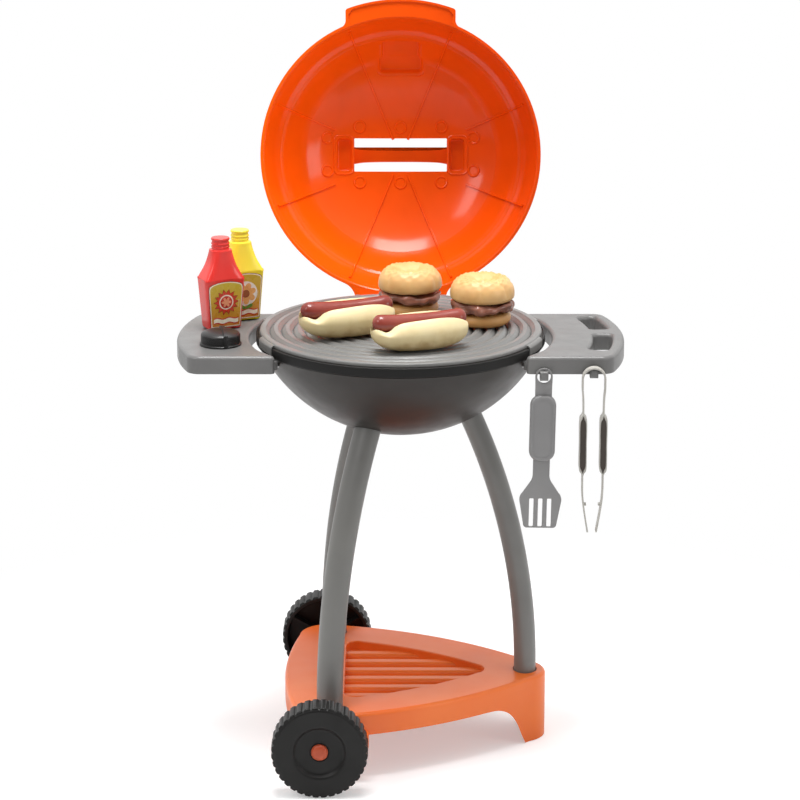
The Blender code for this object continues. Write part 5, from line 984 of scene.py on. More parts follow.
def make_lid():
    outer = lid_profile()
    lid = turned("lid_shell", [(0, LID_RIM_Z)] + outer, STEPS)
    housing = raised("housing", oblong(-0.0315, -0.0375, 0.0315, 0.018, 0.007, 5), -0.012, 0.008, 0.0025, 3)
    add(lid, lip_plate(), tab_plate(), laid(housing, HOUSING_PLACE))
    for side in (-1, 1):
        near, far = sorted((side * POST_OUTER, side * POST_INNER))
        post = block("post", (near, -POST_HALF, LID_RIM_Z + 0.09), (far, POST_HALF, HANDLE_TOP_Z - 0.0003),
                     0.0055, 5)
        add(lid, laid(post, HANDLE_SHIFT))
    under = inside(outer, LID_WALL)
    under[-1] = (0, under[-1][1])
    cut(lid, turned("lid_inside", [(0, LID_RIM_Z - 0.004), (under[0][0], LID_RIM_Z - 0.004)] + under, STEPS))
    cut(lid, lip_hollow())
    low, hollow_half = LID_RIM_Z + LID_HEIGHT / 2, POST_HALF - LID_WALL
    opening = raised("finger_opening", oblong(-POST_INNER, -hollow_half, POST_INNER, hollow_half, 0.0015,
                                              4), low, HANDLE_TOP_Z - BAR_THICKNESS)
    cut(lid, laid(opening, HANDLE_SHIFT))
    for side in (-1, 1):
        near, far = sorted((side * (POST_OUTER - LID_WALL), side * (POST_INNER + LID_WALL)))
        hollow = raised("post_hollow", oblong(near, -hollow_half, far, hollow_half, 0.005, 6), low,
                        LID_RIM_Z + LID_HEIGHT + 0.001, 0.003, 4)
        cut(lid, laid(hollow, HANDLE_SHIFT))
    cut(lid, housing_hollow("upper_hollow", 0.0225, -0.0325, -0.006, 0.0045))
    cut(lid, housing_hollow("lower_hollow", 0.0258, -0.0095, 0.0125, 0.0055))
    steep = (1, 2, 5, 6)
    ribs = [rim_rib(radians(22.5 + 45 * index), 0.0235 if index in steep else 0.088, 0.1615)
            for index in range(8)]
    discs = [mould_disc(x * 0.001206, -y * 0.001206 - 0.0033)
             for x, y in ((-75, 17), (-75, -17), (-42, 28.5), (-42, -28.5), (0, 28), (0, -29), (42, 28.5),
                          (42, -28.5), (75, 17), (75, -17))]
    beads = [opening_bead(side) for side in (-1, 1)]
    bar = laid(handle_bar(), HANDLE_SHIFT)
    lid = grouped([lid, bar, knuckle()] + ribs + discs + beads)
    settle(lid, "lid", "orange_lid", ["lid"], KETTLE @ LID_OPEN, 30)


# Shelves

SHELF_TOP_Z = 0.491
SHELF_UNDER_Z = 0.4705
SHELF_INNER = 0.1745
SHELF_OUTER = 0.25776
SHELF_HALF = 0.1
SHELF_WALL = 0.003
SHELF_EDGE = 0.0046
LUG_ANGLE = asin((SHELF_HALF - 0.0108) / 0.17576)


def fillet(radius, side_at, corner, within):
    """Centre of a corner between a circle about the kettle's axis and a straight side square to Y."""
    reach = radius - corner if within else radius + corner
    return sqrt(reach ** 2 - (side_at - corner) ** 2), side_at - corner


def shelf_outline(side, inner, outer, half, inner_corner, outer_corner):
    """A ring's sector between the bowl and the shelf's outer edge, its ends reaching further in."""
    toe = 0.0042
    far = fillet(outer, half, outer_corner, True)
    near = fillet(inner - toe, half, inner_corner, False)
    far_turn, near_turn = atan2(far[1], far[0]), atan2(near[1], near[0])
    line = arc(outer, -far_turn, far_turn, 36)
    line += arc(outer_corner, far_turn, pi / 2, 8, far)[1:]
    line += arc(inner_corner, pi / 2, pi + near_turn, 6, near)
    for x, y in arc(inner, near_turn, -near_turn, 40)[1:-1]:
        share = max(0, (abs(atan2(y, x)) / near_turn - 0.66) / 0.34)
        shorter = 1 - toe * share * share * (3 - 2 * share) / inner
        line.append((x * shorter, y * shorter))
    line += arc(inner_corner, pi - near_turn, 3 * pi / 2, 6, (near[0], -near[1]))
    line += arc(outer_corner, -pi / 2, -far_turn, 8, (far[0], -far[1]))[:-1]
    return [(side * x, side * y) for x, y in line]


def shelf_shell(name, side):
    """The shelf's moulding: a soft top edge, open underneath, with a lug each way onto the bowl."""
    shelf = slab(name, shelf_outline(side, SHELF_INNER, SHELF_OUTER, SHELF_HALF, 0.0048, 0.016),
                 SHELF_UNDER_Z, SHELF_TOP_Z, SHELF_EDGE, 8, 0.0008)
    turn = 0 if side > 0 else pi
    for angle in (LUG_ANGLE, -LUG_ANGLE):
        lug = block("lug", (0.1655, -0.008, 0.4726), (SHELF_INNER + 0.002, 0.008, 0.4831), 0.0015, 3)
        add(shelf, laid(lug, turn_by(turn + angle)))
    bowl_face = [(sqrt(max(0, (BOWL_RADIUS + CLEARANCE) ** 2 - (BOWL_CENTRE_Z - z) ** 2)), z)
                 for z in (0.468, 0.472, 0.476, 0.48, 0.4839)]
    cut(shelf, turned("bowl_face", [(0, 0.468)] + bowl_face + [(0, 0.4839)], 160))
    hollow = shelf_outline(side, SHELF_INNER + SHELF_WALL, SHELF_OUTER - SHELF_WALL, SHELF_HALF - SHELF_WALL,
                           0.0034, 0.013)
    return cut(shelf, slab("shelf_hollow", hollow, SHELF_UNDER_Z - 0.004, SHELF_TOP_Z - SHELF_WALL, 0.003, 4))


FINGER_HOLES = ((-0.0665, 0.0035), (0.0265, 0.0835))


def finger_outline(low, high, grow):
    """A slot that follows the shelf's outer curve, drawn anticlockwise."""
    inner, outer, corner = 0.2224 - grow, 0.244 + grow, 0.006 + grow
    start, end = asin((low - grow) / 0.233), asin((high + grow) / 0.233)
    far, near = asin(corner / (outer - corner)), asin(corner / (inner + corner))

    def bend(reach, angle, first, last):
        return arc(corner, first, last, 7, (reach * cos(angle), reach * sin(angle)))
    line = arc(outer, start + far, end - far, 24)
    line += bend(outer - corner, end - far, end - far, end + pi / 2)[1:]
    line += bend(inner + corner, end - near, end + pi / 2, end - near + pi)
    line += arc(inner, end - near, start + near, 22)[1:]
    line += bend(inner + corner, start + near, start + near + pi, start + 3 * pi / 2)[1:]
    line += bend(outer - corner, start + far, start - pi / 2, start + far)[:-1]
    return line


def peg(x, top):
    """A square peg at the shelf's front for a tool to hang on, chamfered at its end."""
    low = (x - 0.0048, -SHELF_HALF - 0.0105, top - 0.0105)
    high = (x + 0.0048, -SHELF_HALF + 0.002, top)
    piece = block("peg", low, high)
    bevelled(piece, 0.0026, 2, lambda a, b: max(a.y, b.y) < low[1] + 1e-5)
    return softened(piece, 0.0005, 2, 40)


def make_shelves():
    right = shelf_shell("right_shelf_board", 1)
    for low, high in FINGER_HOLES:
        wall = finger_outline(low, high, SHELF_WALL)
        add(right, raised("handle_wall", wall, SHELF_UNDER_Z + 0.001, SHELF_TOP_Z - 0.002))
    for low, high in FINGER_HOLES:
        hole = finger_outline(low, high, 0)
        cut(right, flared("finger_hole", hole, SHELF_UNDER_Z - 0.004, SHELF_TOP_Z, 0.0048, 7))
    for x, top_z in ((0.1615, 0.4757), (0.2176, 0.4787)):
        add(right, peg(x, top_z))
    settle(right, "stand", "shelf_grey", ["right_shelf"], angle=30)

    left = shelf_shell("left_shelf_board", -1)
    post = turned("knob_post", [(0.0044, 0), (0.0075, 0), (0.0075, 0.014), (0.0044, 0.014)], 40,
                  (KNOB_X, KNOB_Y, SHELF_TOP_Z - 0.0145), closed=True)
    add(left, post)
    cut(left, rod("knob_hole", 0.00435, 0, 0.03, 40, (KNOB_X, KNOB_Y, SHELF_TOP_Z - 0.02)))
    settle(left, "stand", "shelf_grey", ["left_shelf"], angle=30)


# Knob

KNOB_X = -0.20546
KNOB_Y = -0.044


def knob_side(grow):
    """The knob's outer line from its foot to the middle of its dome, with fine rings on the side."""
    radius = 0.0226 + grow
    line = [(radius + 0.0013, 0.0003), (radius + 0.0014, 0.0017), (radius + 0.0009, 0.0022),
            (radius + 0.0001, 0.0024)]
    for ring in range(5):
        low = 0.0028 + ring * 0.0018
        line += [(radius, low), (radius - 0.0001, low + 0.0012), (radius - 0.0005, low + 0.0014),
                 (radius - 0.0005, low + 0.0016)]
    return line + [(radius - 0.0002, 0.0119), (radius - 0.0009, 0.0131 + grow),
                   (radius * 0.88, 0.0143 + grow), (radius * 0.7, 0.0156 + grow),
                   (radius * 0.48, 0.0166 + grow), (radius * 0.25, 0.0172 + grow), (0, 0.0174 + grow)]


def make_knob():
    """A low domed cap with a thin fin over it and down its front, on a stem through the shelf."""
    base = SHELF_TOP_Z + CLEARANCE
    place = shift((KNOB_X + 0.0036, KNOB_Y, base)) @ turn_by(radians(100))
    knob = turned("knob_cap", [(0, 0), (0.0236, 0)] + knob_side(0), 96, (KNOB_X, KNOB_Y, base))
    fin = turned("knob_fin", [(0, 0.0004), (0.0236, 0.0004)] + knob_side(0.0017)[3:], 96,
                 (KNOB_X, KNOB_Y, base))
    cut(fin, laid(block("fin_bounds", (-0.03, -0.0023, -0.002), (0.03, 0.0023, 0.03), 0.0003, 2), place),
        "INTERSECT")
    add(knob, softened(fin, 0.0005, 3, 50))
    stem = turned("knob_stem", [(0, -0.0192), (0.0036, -0.0192), (0.004, -0.0188), (0.004, 0.002),
                                (0, 0.002)], 40, (KNOB_X, KNOB_Y, base))
    add(knob, stem)
    settle(knob, "knob", "knob_black", ["knob"], angle=30)


def make_click():
    """The toothed ring under the left shelf and the tongue that it clicks past, on the CAD's own places."""
    low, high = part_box("knob_ratchet")
    middle = (low + high) / 2
    radius = (high.x - low.x) / 2
    tip, root = radius - 0.00003, radius - 0.0014
    teeth = toothed(12, ((root, 0.0), (tip, 0.35), (tip, 0.55), (root, 0.9)))
    ring = raised("click_ring", teeth, low.z, high.z, 0.0003, 2)
    laid(ring, shift((middle.x, middle.y, 0)))
    cut(ring, rod("click_hole", 0.0042, low.z - 0.01, high.z + 0.01, 40, (middle.x, middle.y, 0)))
    settle(ring, "knob", "knob_black", ["knob_ratchet"], Matrix())

    pawl = copied(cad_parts["click_pawl"], "click_tongue", Matrix())
    edit(pawl)
    everything()
    bpy.ops.mesh.remove_doubles(threshold=MERGE)
    outward()
    clear()
    settle(pawl, "stand", "knob_black", ["click_pawl"], Matrix())


# Legs

LEG_BEND = 0.75
LEG_STRAIGHT = 0.022
LEG_FOOT_Z = 0.0633
LEG_FEET = {"right_leg": (0.1477, 0.0, 0.0), "front_left_leg": (-0.0815, -0.124, pi + radians(50)),
            "rear_left_leg": (-0.0815, 0.124, pi - radians(50))}


def leg_tube(name, x, y, lean):
    """An oval bar pulled straight up and then bent in towards the bowl's middle, cut to the bowl's round."""
    clear()
    bpy.ops.mesh.primitive_circle_add(vertices=48, radius=1, fill_type="NGON")
    leg = named(name)
    leg.scale = (0.013, 0.0165, 1)
    kept()
    bpy.ops.object.mode_set(mode="EDIT")
    everything()
    bpy.ops.mesh.extrude_region_move(TRANSFORM_OT_translate={"value": (0, 0, LEG_STRAIGHT)})
    bpy.ops.mesh.spin(steps=48, angle=0.62, center=(-LEG_BEND, 0, LEG_STRAIGHT), axis=(0, 1, 0))
    outward()
    clear()
    laid(leg, shift((x, y, LEG_FOOT_Z)) @ turn_by(lean))
    cut(leg, bowl_round(96, 192))
    edit(leg)
    pick(lambda vertex: vertex.co.z > BOWL_CENTRE_Z - 0.02)
    bpy.ops.mesh.delete(type="VERT")
    clear()
    return leg


def make_legs():
    for name, (x, y, lean) in LEG_FEET.items():
        leg = leg_tube(name + "_tube", x, y, lean)
        softened(leg, 0.0007, 2, 55)
        settle(leg, "stand", "leg_grey", [name], angle=30)


# Tray

TRAY_TOP_Z = 0.0805
TRAY_WALL = 0.003
SKIRT = 0.027
RECESS_DEPTH = 0.011


def tray_outline():
    """The three-sided tray from above, every side standing out a little, drawn anticlockwise."""
    left_x, left_y, left_corner = -0.088, 0.122, 0.036
    right_x, right_corner = 0.137, 0.035
    side = pi / 2 - atan2(left_y, right_x - left_x)
    right = arc(right_corner, -side, side, 14, (right_x, 0))
    far = arc(left_corner, side, pi, 12, (left_x, left_y))
    near = arc(left_corner, pi, 2 * pi - side, 12, (left_x, -left_y))
    return (right + bulged(right[-1], far[0], 0.019, 16) + far + bulged(far[-1], near[0], 0.013, 16)
            + near + bulged(near[-1], right[0], 0.019, 16))


def recess_outline(grow):
    """The three-cornered recess: round corners, the two long sides standing out a little."""
    left, right, half = -0.066, 0.1155, 0.104
    corners = rounded([(right, 0.0, 0.016), (left, half, 0.014), (left, -half, 0.014)], 8)
    nose, far, near = corners[:9], corners[9:18], corners[18:]
    line = nose + bulged(nose[-1], far[0], 0.008, 16) + far + near + bulged(near[-1], nose[0], 0.008, 16)
    return shrunk(line, -grow) if grow else line


def pulled(name, points, low, high):
    """A front view of (x, z) points filled and pulled back along Y."""
    return pushed(name, [(x, low, z) for x, z in points], (0, high - low, 0))


def leg_socket(name, x, y, lean, grow, low, high):
    """An upright oval block the shape of a leg's foot, grown a little."""
    clear()
    bpy.ops.mesh.primitive_cylinder_add(vertices=48, radius=1, depth=high - low)
    piece = named(name)
    piece.scale = (0.013 + grow, 0.0165 + grow, 1)
    kept()
    return laid(piece, shift((x, y, (low + high) / 2)) @ turn_by(lean))


def tray_rib(centre):
    """A soft rib on the recess floor that runs under the recess's slanting side."""
    floor = TRAY_TOP_Z - RECESS_DEPTH
    outline = oblong(-0.075, centre - 0.009, 0.12, centre + 0.009, 0.001, 2)
    rib = slab("tray_rib", outline, floor - 0.001, floor + 0.005, 0.0058, 8)
    within = raised("rib_bounds", recess_outline(0.0012), floor - 0.0011, floor + 0.01)
    return cut(rib, within, "INTERSECT")


def make_tray():
    outline = tray_outline()
    tray = slab("tray_body", outline, 0, TRAY_TOP_Z, 0.0046, 8)
    cut(tray, raised("tray_hollow", shrunk(outline, TRAY_WALL), -0.01, TRAY_TOP_Z - TRAY_WALL))
    skirt = TRAY_TOP_Z - SKIRT
    shares = curve([(0.0, 1.0), (0.34, 0.97), (0.6, 0.82), (0.78, 0.55), (0.9, 0.24), (1.0, 0.0)], 4)
    arch = [(-0.2, -0.01), (-0.2, skirt)] + [(0.098 + 0.05 * along, skirt * up) for along, up in shares]
    cut(tray, pulled("arch", arch + [(0.148, -0.01)], -0.25, 0.25))
    add(tray, raised("recess_basin", recess_outline(TRAY_WALL), TRAY_TOP_Z - RECESS_DEPTH - TRAY_WALL,
                     TRAY_TOP_Z - 0.0015))
    for x, y, lean in LEG_FEET.values():
        add(tray, leg_socket("socket_wall", x, y, lean, 0.0036, TRAY_TOP_Z - 0.0205, TRAY_TOP_Z - 0.001))
    for side in (-1, 1):
        low, high = sorted((side * 0.1585, side * 0.1385))
        corners = [(-0.128, 0.026, 0.02), (-0.0365, 0.026, 0.02), (-0.0365, skirt + 0.006, 0.004),
                   (-0.122, skirt + 0.006, 0.004)]
        housing = pulled("axle_housing", rounded(corners, 10), low, high)
        add(tray, softened(housing, 0.001, 3, 60))
    cut(tray, flared("recess", recess_outline(0), TRAY_TOP_Z - RECESS_DEPTH, TRAY_TOP_Z, 0.0016, 4))
    for x, y, lean in LEG_FEET.values():
        grow = 0.0012 if x > 0 else 0.0006
        cut(tray, leg_socket("socket", x, y, lean, grow, TRAY_TOP_Z - 0.0175, TRAY_TOP_Z + 0.01))
    add(tray, *[tray_rib(0.0284 * (index - 2.5)) for index in range(6)])
    cut(tray, rod("axle_bore", 0.0034, -0.17, 0.17, 32, (AXLE_X, 0, WHEEL_RADIUS), "Y"))
    settle(tray, "stand", "orange_tray", ["base_tray"], angle=30)


# Wheels

WHEEL_RADIUS = 0.055
WHEEL_FACE = 0.2058
AXLE_X = -0.0918


def make_wheel(name, side, body):
    """A dark wheel with a dished middle, round-topped tread blocks and an open, ribbed back."""
    hub = (AXLE_X, 0, WHEEL_RADIUS)

    def at(depth):
        return side * (WHEEL_FACE - depth)
    profile = [(0.0034, 0.0045), (0.0105, 0.0045), (0.0112, 0.004), (0.0122, 0.0038), (0.0136, 0.0044),
               (0.025, 0.0045), (0.0268, 0.0042), (0.0281, 0.0034), (0.0291, 0.0022), (0.03, 0.0011),
               (0.0312, 0.0004), (0.033, 0.0), (0.0492, 0.0), (0.0508, 0.0003), (0.0523, 0.0012),
               (0.0531, 0.0026), (0.0532, 0.004), (0.0532, 0.03), (0.0526, 0.0316), (0.0496, 0.0316),
               (0.049, 0.031), (0.0478, 0.01), (0.0462, 0.0086), (0.0135, 0.0085), (0.0122, 0.009),
               (0.0116, 0.01), (0.0108, 0.046), (0.0102, 0.0468), (0.0034, 0.0468)]
    wheel = turned(name + "_body", [(radius, at(depth)) for radius, depth in profile], 144, hub, "Y",
                   closed=True)
    tread = block("tread", (-0.0037, 0.0009, 0.0512), (0.0037, 0.0309, WHEEL_RADIUS))
    bevelled(tread, 0.0029, 5, lambda a, b: min(a.z, b.z) > WHEEL_RADIUS - 1e-5)
    spoke = block("back_rib", (-0.0009, 0.0084, 0.0106), (0.0009, 0.0236, 0.0486), 0.0003, 2)
    parts = [wheel]
    face = shift((AXLE_X, side * WHEEL_FACE, WHEEL_RADIUS)) @ Matrix.Scale(-side, 4, (0, 1, 0))
    for index in range(36):
        parts.append(copied(tread, "tread", face @ turn_by(2 * pi * (index + 0.5) / 36, "Y")))
    for index in range(6):
        parts.append(copied(spoke, "back_rib", face @ turn_by(2 * pi * index / 6, "Y")))
    bpy.data.objects.remove(tread, do_unlink=True)
    bpy.data.objects.remove(spoke, do_unlink=True)
    wheel = grouped(parts)
    edit(wheel)
    outward()
    settle(wheel, body, "wheel_grey", [name], angle=35)


def make_axle():
    reach = WHEEL_FACE - 0.0017
    axle = turned("axle_rod", [(0, -reach), (0.0026, -reach), (0.003, -reach + 0.0004),
                               (0.003, reach - 0.0004), (0.0026, reach), (0, reach)], 40,
                  (AXLE_X, 0, WHEEL_RADIUS), "Y")
    settle(axle, "stand", "steel", ["axle"])
    for name, side in (("front_hub_cap", -1), ("rear_hub_cap", 1)):
        base = 0.2016
        profile = [(0, 0.005), (0.003, 0.00495), (0.0055, 0.0047), (0.0074, 0.0041), (0.0086, 0.0032),
                   (0.0094, 0.002), (0.0097, 0.001), (0.0097, 0.0), (0.0033, 0.0), (0.0033, 0.0028),
                   (0, 0.0028)]
        cap = turned(name + "_dome", [(radius, side * (base + up)) for radius, up in profile], 64,
                     (AXLE_X, 0, WHEEL_RADIUS), "Y")
        settle(cap, "stand", "cap_orange", [name], angle=40)


# Screws and hinge

def screw_axis(node):
    """Where a CAD screw's head is and the way that it goes in."""
    points = {tuple(round(part, 6) for part in node.matrix_world @ vertex.co)
              for vertex in node.data.vertices}
    points = [Vector(point) for point in sorted(points)]
    middle = sum(points, Vector()) / len(points)
    way = Vector((0.3, 0.5, 0.8)).normalized()
    for _ in range(40):
        way = sum(((point - middle) * (point - middle).dot(way) for point in points), Vector()).normalized()
    reach = [(point - middle).dot(way) for point in points]
    low, high = min(reach), max(reach)
    wide = [max(((point - middle) - way * (point - middle).dot(way)).length
                for point, far in zip(points, reach) if abs(far - end) < 0.0005) for end in (low, high)]
    if wide[1] > wide[0]:
        way, low, high = -way, -high, -low
    return middle + way * low, way, high - low


def make_screws():
    """One pan-head screw with a cross in its head and a pointed, threaded shank, copied to every seat."""
    profile = [(0, 0), (0.0026, 0.00005), (0.0037, 0.0004), (0.0043, 0.001), (0.0045, 0.0018),
               (0.0044, 0.002), (0.00195, 0.002)]
    for turn in range(13):
        profile += [(0.00165, 0.0034 + turn * 0.0008), (0.00198, 0.0038 + turn * 0.0008)]
    profile += [(0.0014, 0.0146), (0.0004, 0.0159), (0, 0.016)]
    screw = turned("screw", profile, 40)
    for angle in (0, pi / 2):
        slot = block("cross", (-0.0022, -0.00045, -0.001), (0.0022, 0.00045, 0.0011), 0.0002, 2)
        cut(screw, laid(slot, turn_by(angle)))
    names = [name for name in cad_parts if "_screw_" in name]
    for name in sorted(names):
        head, way, length = screw_axis(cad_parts[name])
        place = shift(head) @ way.to_track_quat("Z", "Y").to_matrix().to_4x4()
        place = place @ Matrix.Scale(length / 0.016, 4, (0, 0, 1))
        piece = copied(screw, name + "_pan_head", place)
        settle(piece, "stand", "steel", [name], Matrix(), 40)
    bpy.data.objects.remove(screw, do_unlink=True)


def make_hinge():
    """The bracket on the bowl's back, two ears and the pin through them."""
    inner, outer = 0.0486, 0.0546
    top, under, front = 0.4827, 0.4742, HINGE.y - 0.026
    bracket = block("bracket_base", (-outer, front, under), (outer, HINGE.y, top), 0.0008, 3)
    for side in (-1, 1):
        line = [(front + 0.001, under + 0.0003), (HINGE.y, under + 0.0003), (HINGE.y + 0.0062, top)]
        line += arc(0.0062, 0, pi, 16, (HINGE.y, HINGE.z)) + [(HINGE.y - 0.0062, top),
                                                              (front + 0.001, top - 0.0003)]
        low, high = sorted((side * inner, side * outer))
        ear = pushed("ear", [(low, y, z) for y, z in line], (high - low, 0, 0))
        add(bracket, softened(ear, 0.0006, 2, 50))
    cut(bracket, bowl_round(64, 160))
    pin_bore = rod("pin_bore", 0.0025, -0.06, 0.06, 32)
    across = shift(HINGE) @ turn_by(pi / 2, "Y")
    cut(bracket, laid(pin_bore, across))
    settle(bracket, "stand", "shelf_grey", ["hinge_bracket"], angle=35)
    half = outer + 0.0003
    pin = turned("hinge_rod", [(0, -half), (0.0018, -half), (0.0022, -half + 0.0004), (0.0022, half),
                               (0.0042, half), (0.0042, half + 0.0008), (0.0036, half + 0.0014),
                               (0, half + 0.0016)], 40)
    settle(laid(pin, across), "stand", "steel", ["hinge_pin"], angle=40)


# Sauce bottles

BOTTLES = {"ketchup": (-0.20846, 0.0325, "ketchup_red"), "mustard": (-0.18796, 0.0735, "mustard_yellow")}
BOTTLE_TURN = radians(25)
BOTTLE_SHOULDER = 0.0584
BOTTLE_HEIGHT = 0.093
BOTTLE_HALF_WIDTH = 0.0247
BOTTLE_HALF_DEPTH = 0.0165


def squarish(half_x, half_y, square):
    """A ring between round, at 2, and square-cornered, at more."""
    count = 72
    ring = []
    for index in range(count):
        angle = 2 * pi * (index + 0.5) / count
        across, back = cos(angle), sin(angle)
        ring.append((half_x * abs(across) ** (2 / square) * (1 if across > 0 else -1),
                     half_y * abs(back) ** (2 / square) * (1 if back > 0 else -1)))
    return ring


def bottle_halves(height):
    """Half the width and depth of the bottle at a height up to its shoulder."""
    share = height / BOTTLE_SHOULDER
    return 0.0202 + (BOTTLE_HALF_WIDTH - 0.0202) * share, 0.0135 + (BOTTLE_HALF_DEPTH - 0.0135) * share


def on_bottle(x, height, lift):
    """A point on the bottle's front face."""
    half_x, half_y = bottle_halves(height)
    return Vector((x, -half_y * (1 - min(0.995, abs(x) / half_x) ** 7) ** (1 / 7) - lift, height))


def make_bottle(kind):
    x, y, colour = BOTTLES[kind]
    rings = []
    for height, shrink in ((0, 0.0022), (0.0004, 0.0012), (0.0012, 0.0004), (0.0024, 0)):
        half_x, half_y = bottle_halves(height)
        ring = squarish(half_x - shrink, half_y - shrink, 7)
        arch = 0.0022 * (1 - height / 0.0024)
        rings.append([(across, back, height
                       + arch * max(0, 1 - (across / 0.0145) ** 2) * min(1, abs(back) / 0.008))
                      for across, back in ring])
    for height in (0.012, 0.024, 0.036, 0.048, 0.0575, 0.0603):
        half_x, half_y = bottle_halves(height)
        rings.append([(*point, height) for point in squarish(half_x, half_y, 7)])
    shares = ((0.0, 1.0, 9), (0.015, 0.985, 9), (0.1, 0.86, 8), (0.22, 0.68, 7), (0.34, 0.5, 6),
              (0.46, 0.35, 5.4), (0.58, 0.23, 4.6), (0.7, 0.14, 4), (0.82, 0.075, 3.2), (0.92, 0.035, 2.7),
              (1.0, 0.02, 2.4))
    rise = BOTTLE_HEIGHT - BOTTLE_SHOULDER
    for up, out, square in shares:
        neck = 0.0125
        ring = squarish(neck + (BOTTLE_HALF_WIDTH - neck) * out, neck + (BOTTLE_HALF_DEPTH - neck) * out,
                        square)
        rings.append([(*point, BOTTLE_SHOULDER + rise * up) for point in ring])
    bottle = lofted(kind + "_body", rings)
    top = BOTTLE_HEIGHT
    spout = [(0, top - 0.003), (0.0127, top - 0.003), (0.0128, top - 0.0006), (0.0124, top + 0.0004),
             (0.0104, top + 0.0006), (0.01, top + 0.0012), (0.01, top + 0.0026), (0.0106, top + 0.0031),
             (0.0108, top + 0.0038), (0.0106, top + 0.0045), (0.01, top + 0.005), (0.01, top + 0.0062),
             (0.0106, top + 0.0067), (0.0108, top + 0.0074), (0.0106, top + 0.0081), (0.0099, top + 0.0086),
             (0.0098, top + 0.0112), (0.0106, top + 0.0117), (0.0108, top + 0.0124), (0.0107, top + 0.0136),
             (0.0102, top + 0.0142), (0.0088, top + 0.01432), (0, top + 0.0143)]
    add(bottle, turned("spout", spout, 72))
    place = shift((x, y, SHELF_TOP_Z + CLEARANCE)) @ turn_by(BOTTLE_TURN)
    settle(bottle, kind, colour, [kind + "_bottle"], KETTLE @ place, 32)
    make_label(kind, place)


def sheet(name, outline, lift):
    """A printed layer of the label: a filled outline, bent round the bottle's front face."""
    piece = drawn(name, [(x, 0, z) for x, z in outline], closed=True)
    bpy.ops.mesh.edge_face_add()
    wide, strip = max(abs(x) for x, _ in outline), 0.0025
    for step in range(-7, 8):
        if abs(step * strip) < wide:
            everything()
            bpy.ops.mesh.bisect(plane_co=(step * strip, 0, 0), plane_no=(1, 0, 0))
    everything()
    bpy.ops.mesh.extrude_region_move(TRANSFORM_OT_translate={"value": (0, -0.0002, 0)})
    outward()

    def bend(vertex):
        vertex.co = on_bottle(vertex.co.x, vertex.co.z, lift - vertex.co.y)
    return reshaped(piece, bend)


def label_outline(grow):
    """A sheet narrower at its foot, with an arched top."""
    low, high, top, base = 0.0044 - grow, 0.0552 + grow, 0.0202 + grow, 0.0172 + grow
    half = [(top, high - 0.007), (top * 0.96, high - 0.0034), (top * 0.8, high - 0.0008),
            (top * 0.4, high + 0.0012)]
    arch = curve(half + [(0, high + 0.0018)] + mirrored(half), 3)
    return [(-base, low), (base, low)] + arch


def petal(z, length, width, angle):
    """A pointed oval from a point outwards."""
    line = []
    for index in range(14):
        around = 2 * pi * index / 14
        reach = length / 2 * (1 - cos(around))
        side = width / 2 * sin(around) * (0.8 + 0.4 * reach / length)
        line.append((reach * cos(angle) - side * sin(angle), z + reach * sin(angle) + side * cos(angle)))
    return line


def disc(radius, count, middle):
    return toothed(count, ((radius, 0.0),), middle)


def wave(low, high, half, height):
    """A band whose upper and lower edges roll."""
    across = [half * (2 * step / 16 - 1) for step in range(17)]
    return ([(x, low + height * sin(x / half * 2 * pi)) for x in across]
            + [(x, high + height * sin(x / half * 2 * pi)) for x in reversed(across)])


def make_label(kind, place):
    """Thin printed layers: a dark line, a cream line, speckled gold, a rolling band and a plain motif."""
    layers = [("line", label_outline(0.0012), "ink_dark_red"), ("border", label_outline(0.0006), "ink_cream"),
              ("ground", label_outline(-0.0004), "label_gold"),
              ("wave_line", wave(0.0075, 0.0148, 0.0152, 0.0009), "ink_red"),
              ("wave", wave(0.0088, 0.0135, 0.0152, 0.0009), "ink_cream")]
    middle = 0.0335
    if kind == "ketchup":
        layers += [("sun_line", toothed(14, ((0.0158, 0.0), (0.0112, 0.5)), middle), "ink_dark_red"),
                   ("sun", toothed(14, ((0.0148, 0.0), (0.0106, 0.5)), middle), "ink_ember"),
                   ("sun_ring", disc(0.0088, 32, middle), "ink_cream"),
                   ("sun_heart", disc(0.0074, 32, middle), "ink_red")]
        layers += [("sun_petal_%d" % index, petal(middle, 0.0062, 0.003, 2 * pi * index / 6), "ink_blush")
                   for index in range(6)]
    else:
        layers += [("oval", disc(0.0148, 36, middle), "ink_pale")]
        layers += [("petal_%d" % index, petal(middle, 0.0132, 0.0074, 2 * pi * index / 7 + 0.3), "ink_wheat")
                   for index in range(7)]
        layers += [("heart_line", disc(0.0046, 24, middle), "ink_dark_red"),
                   ("heart", disc(0.0039, 24, middle), "ink_bark")]
        layers += [("leaf_%d" % index, petal(0.0155, 0.0098, 0.0042, angle), "ink_leaf_green")
                   for index, angle in enumerate((0.5, pi - 0.5))]
    for depth, (part, outline, ink) in enumerate(layers):
        piece = sheet(kind + "_label_" + part, outline, 0.0001 + depth * 0.00008)
        settle(piece, kind, ink, [kind + "_label"], KETTLE @ place, 40, False)


# Play food

GRATE_TOP_Z = 0.5
BUN_REACH = 0.0569
SAUSAGE_REACH = 0.0555
HOT_DOGS = ((-0.0612, -0.04, radians(21)), (0.0212, -0.0992, radians(19)))
BURGERS = ((0.011, 0.066), (0.0945, 0.018))


def sausage_radius(x):
    """The sausage's radius along its length, round at both ends."""
    full = 0.0104
    share = max(0, (abs(x) - SAUSAGE_REACH + full) / full)
    return full * sqrt(max(0, 1 - share * share))


def bowed(x):
    """The height of the sausage's middle line over the grate."""
    return 0.0306 + 0.003 * (x / SAUSAGE_REACH) ** 2


def sausage_ring(x, radius):
    turns = [2 * pi * step / 48 for step in range(48)]
    return [Vector((x, radius * cos(turn), bowed(x) + radius * sin(turn))) for turn in turns]


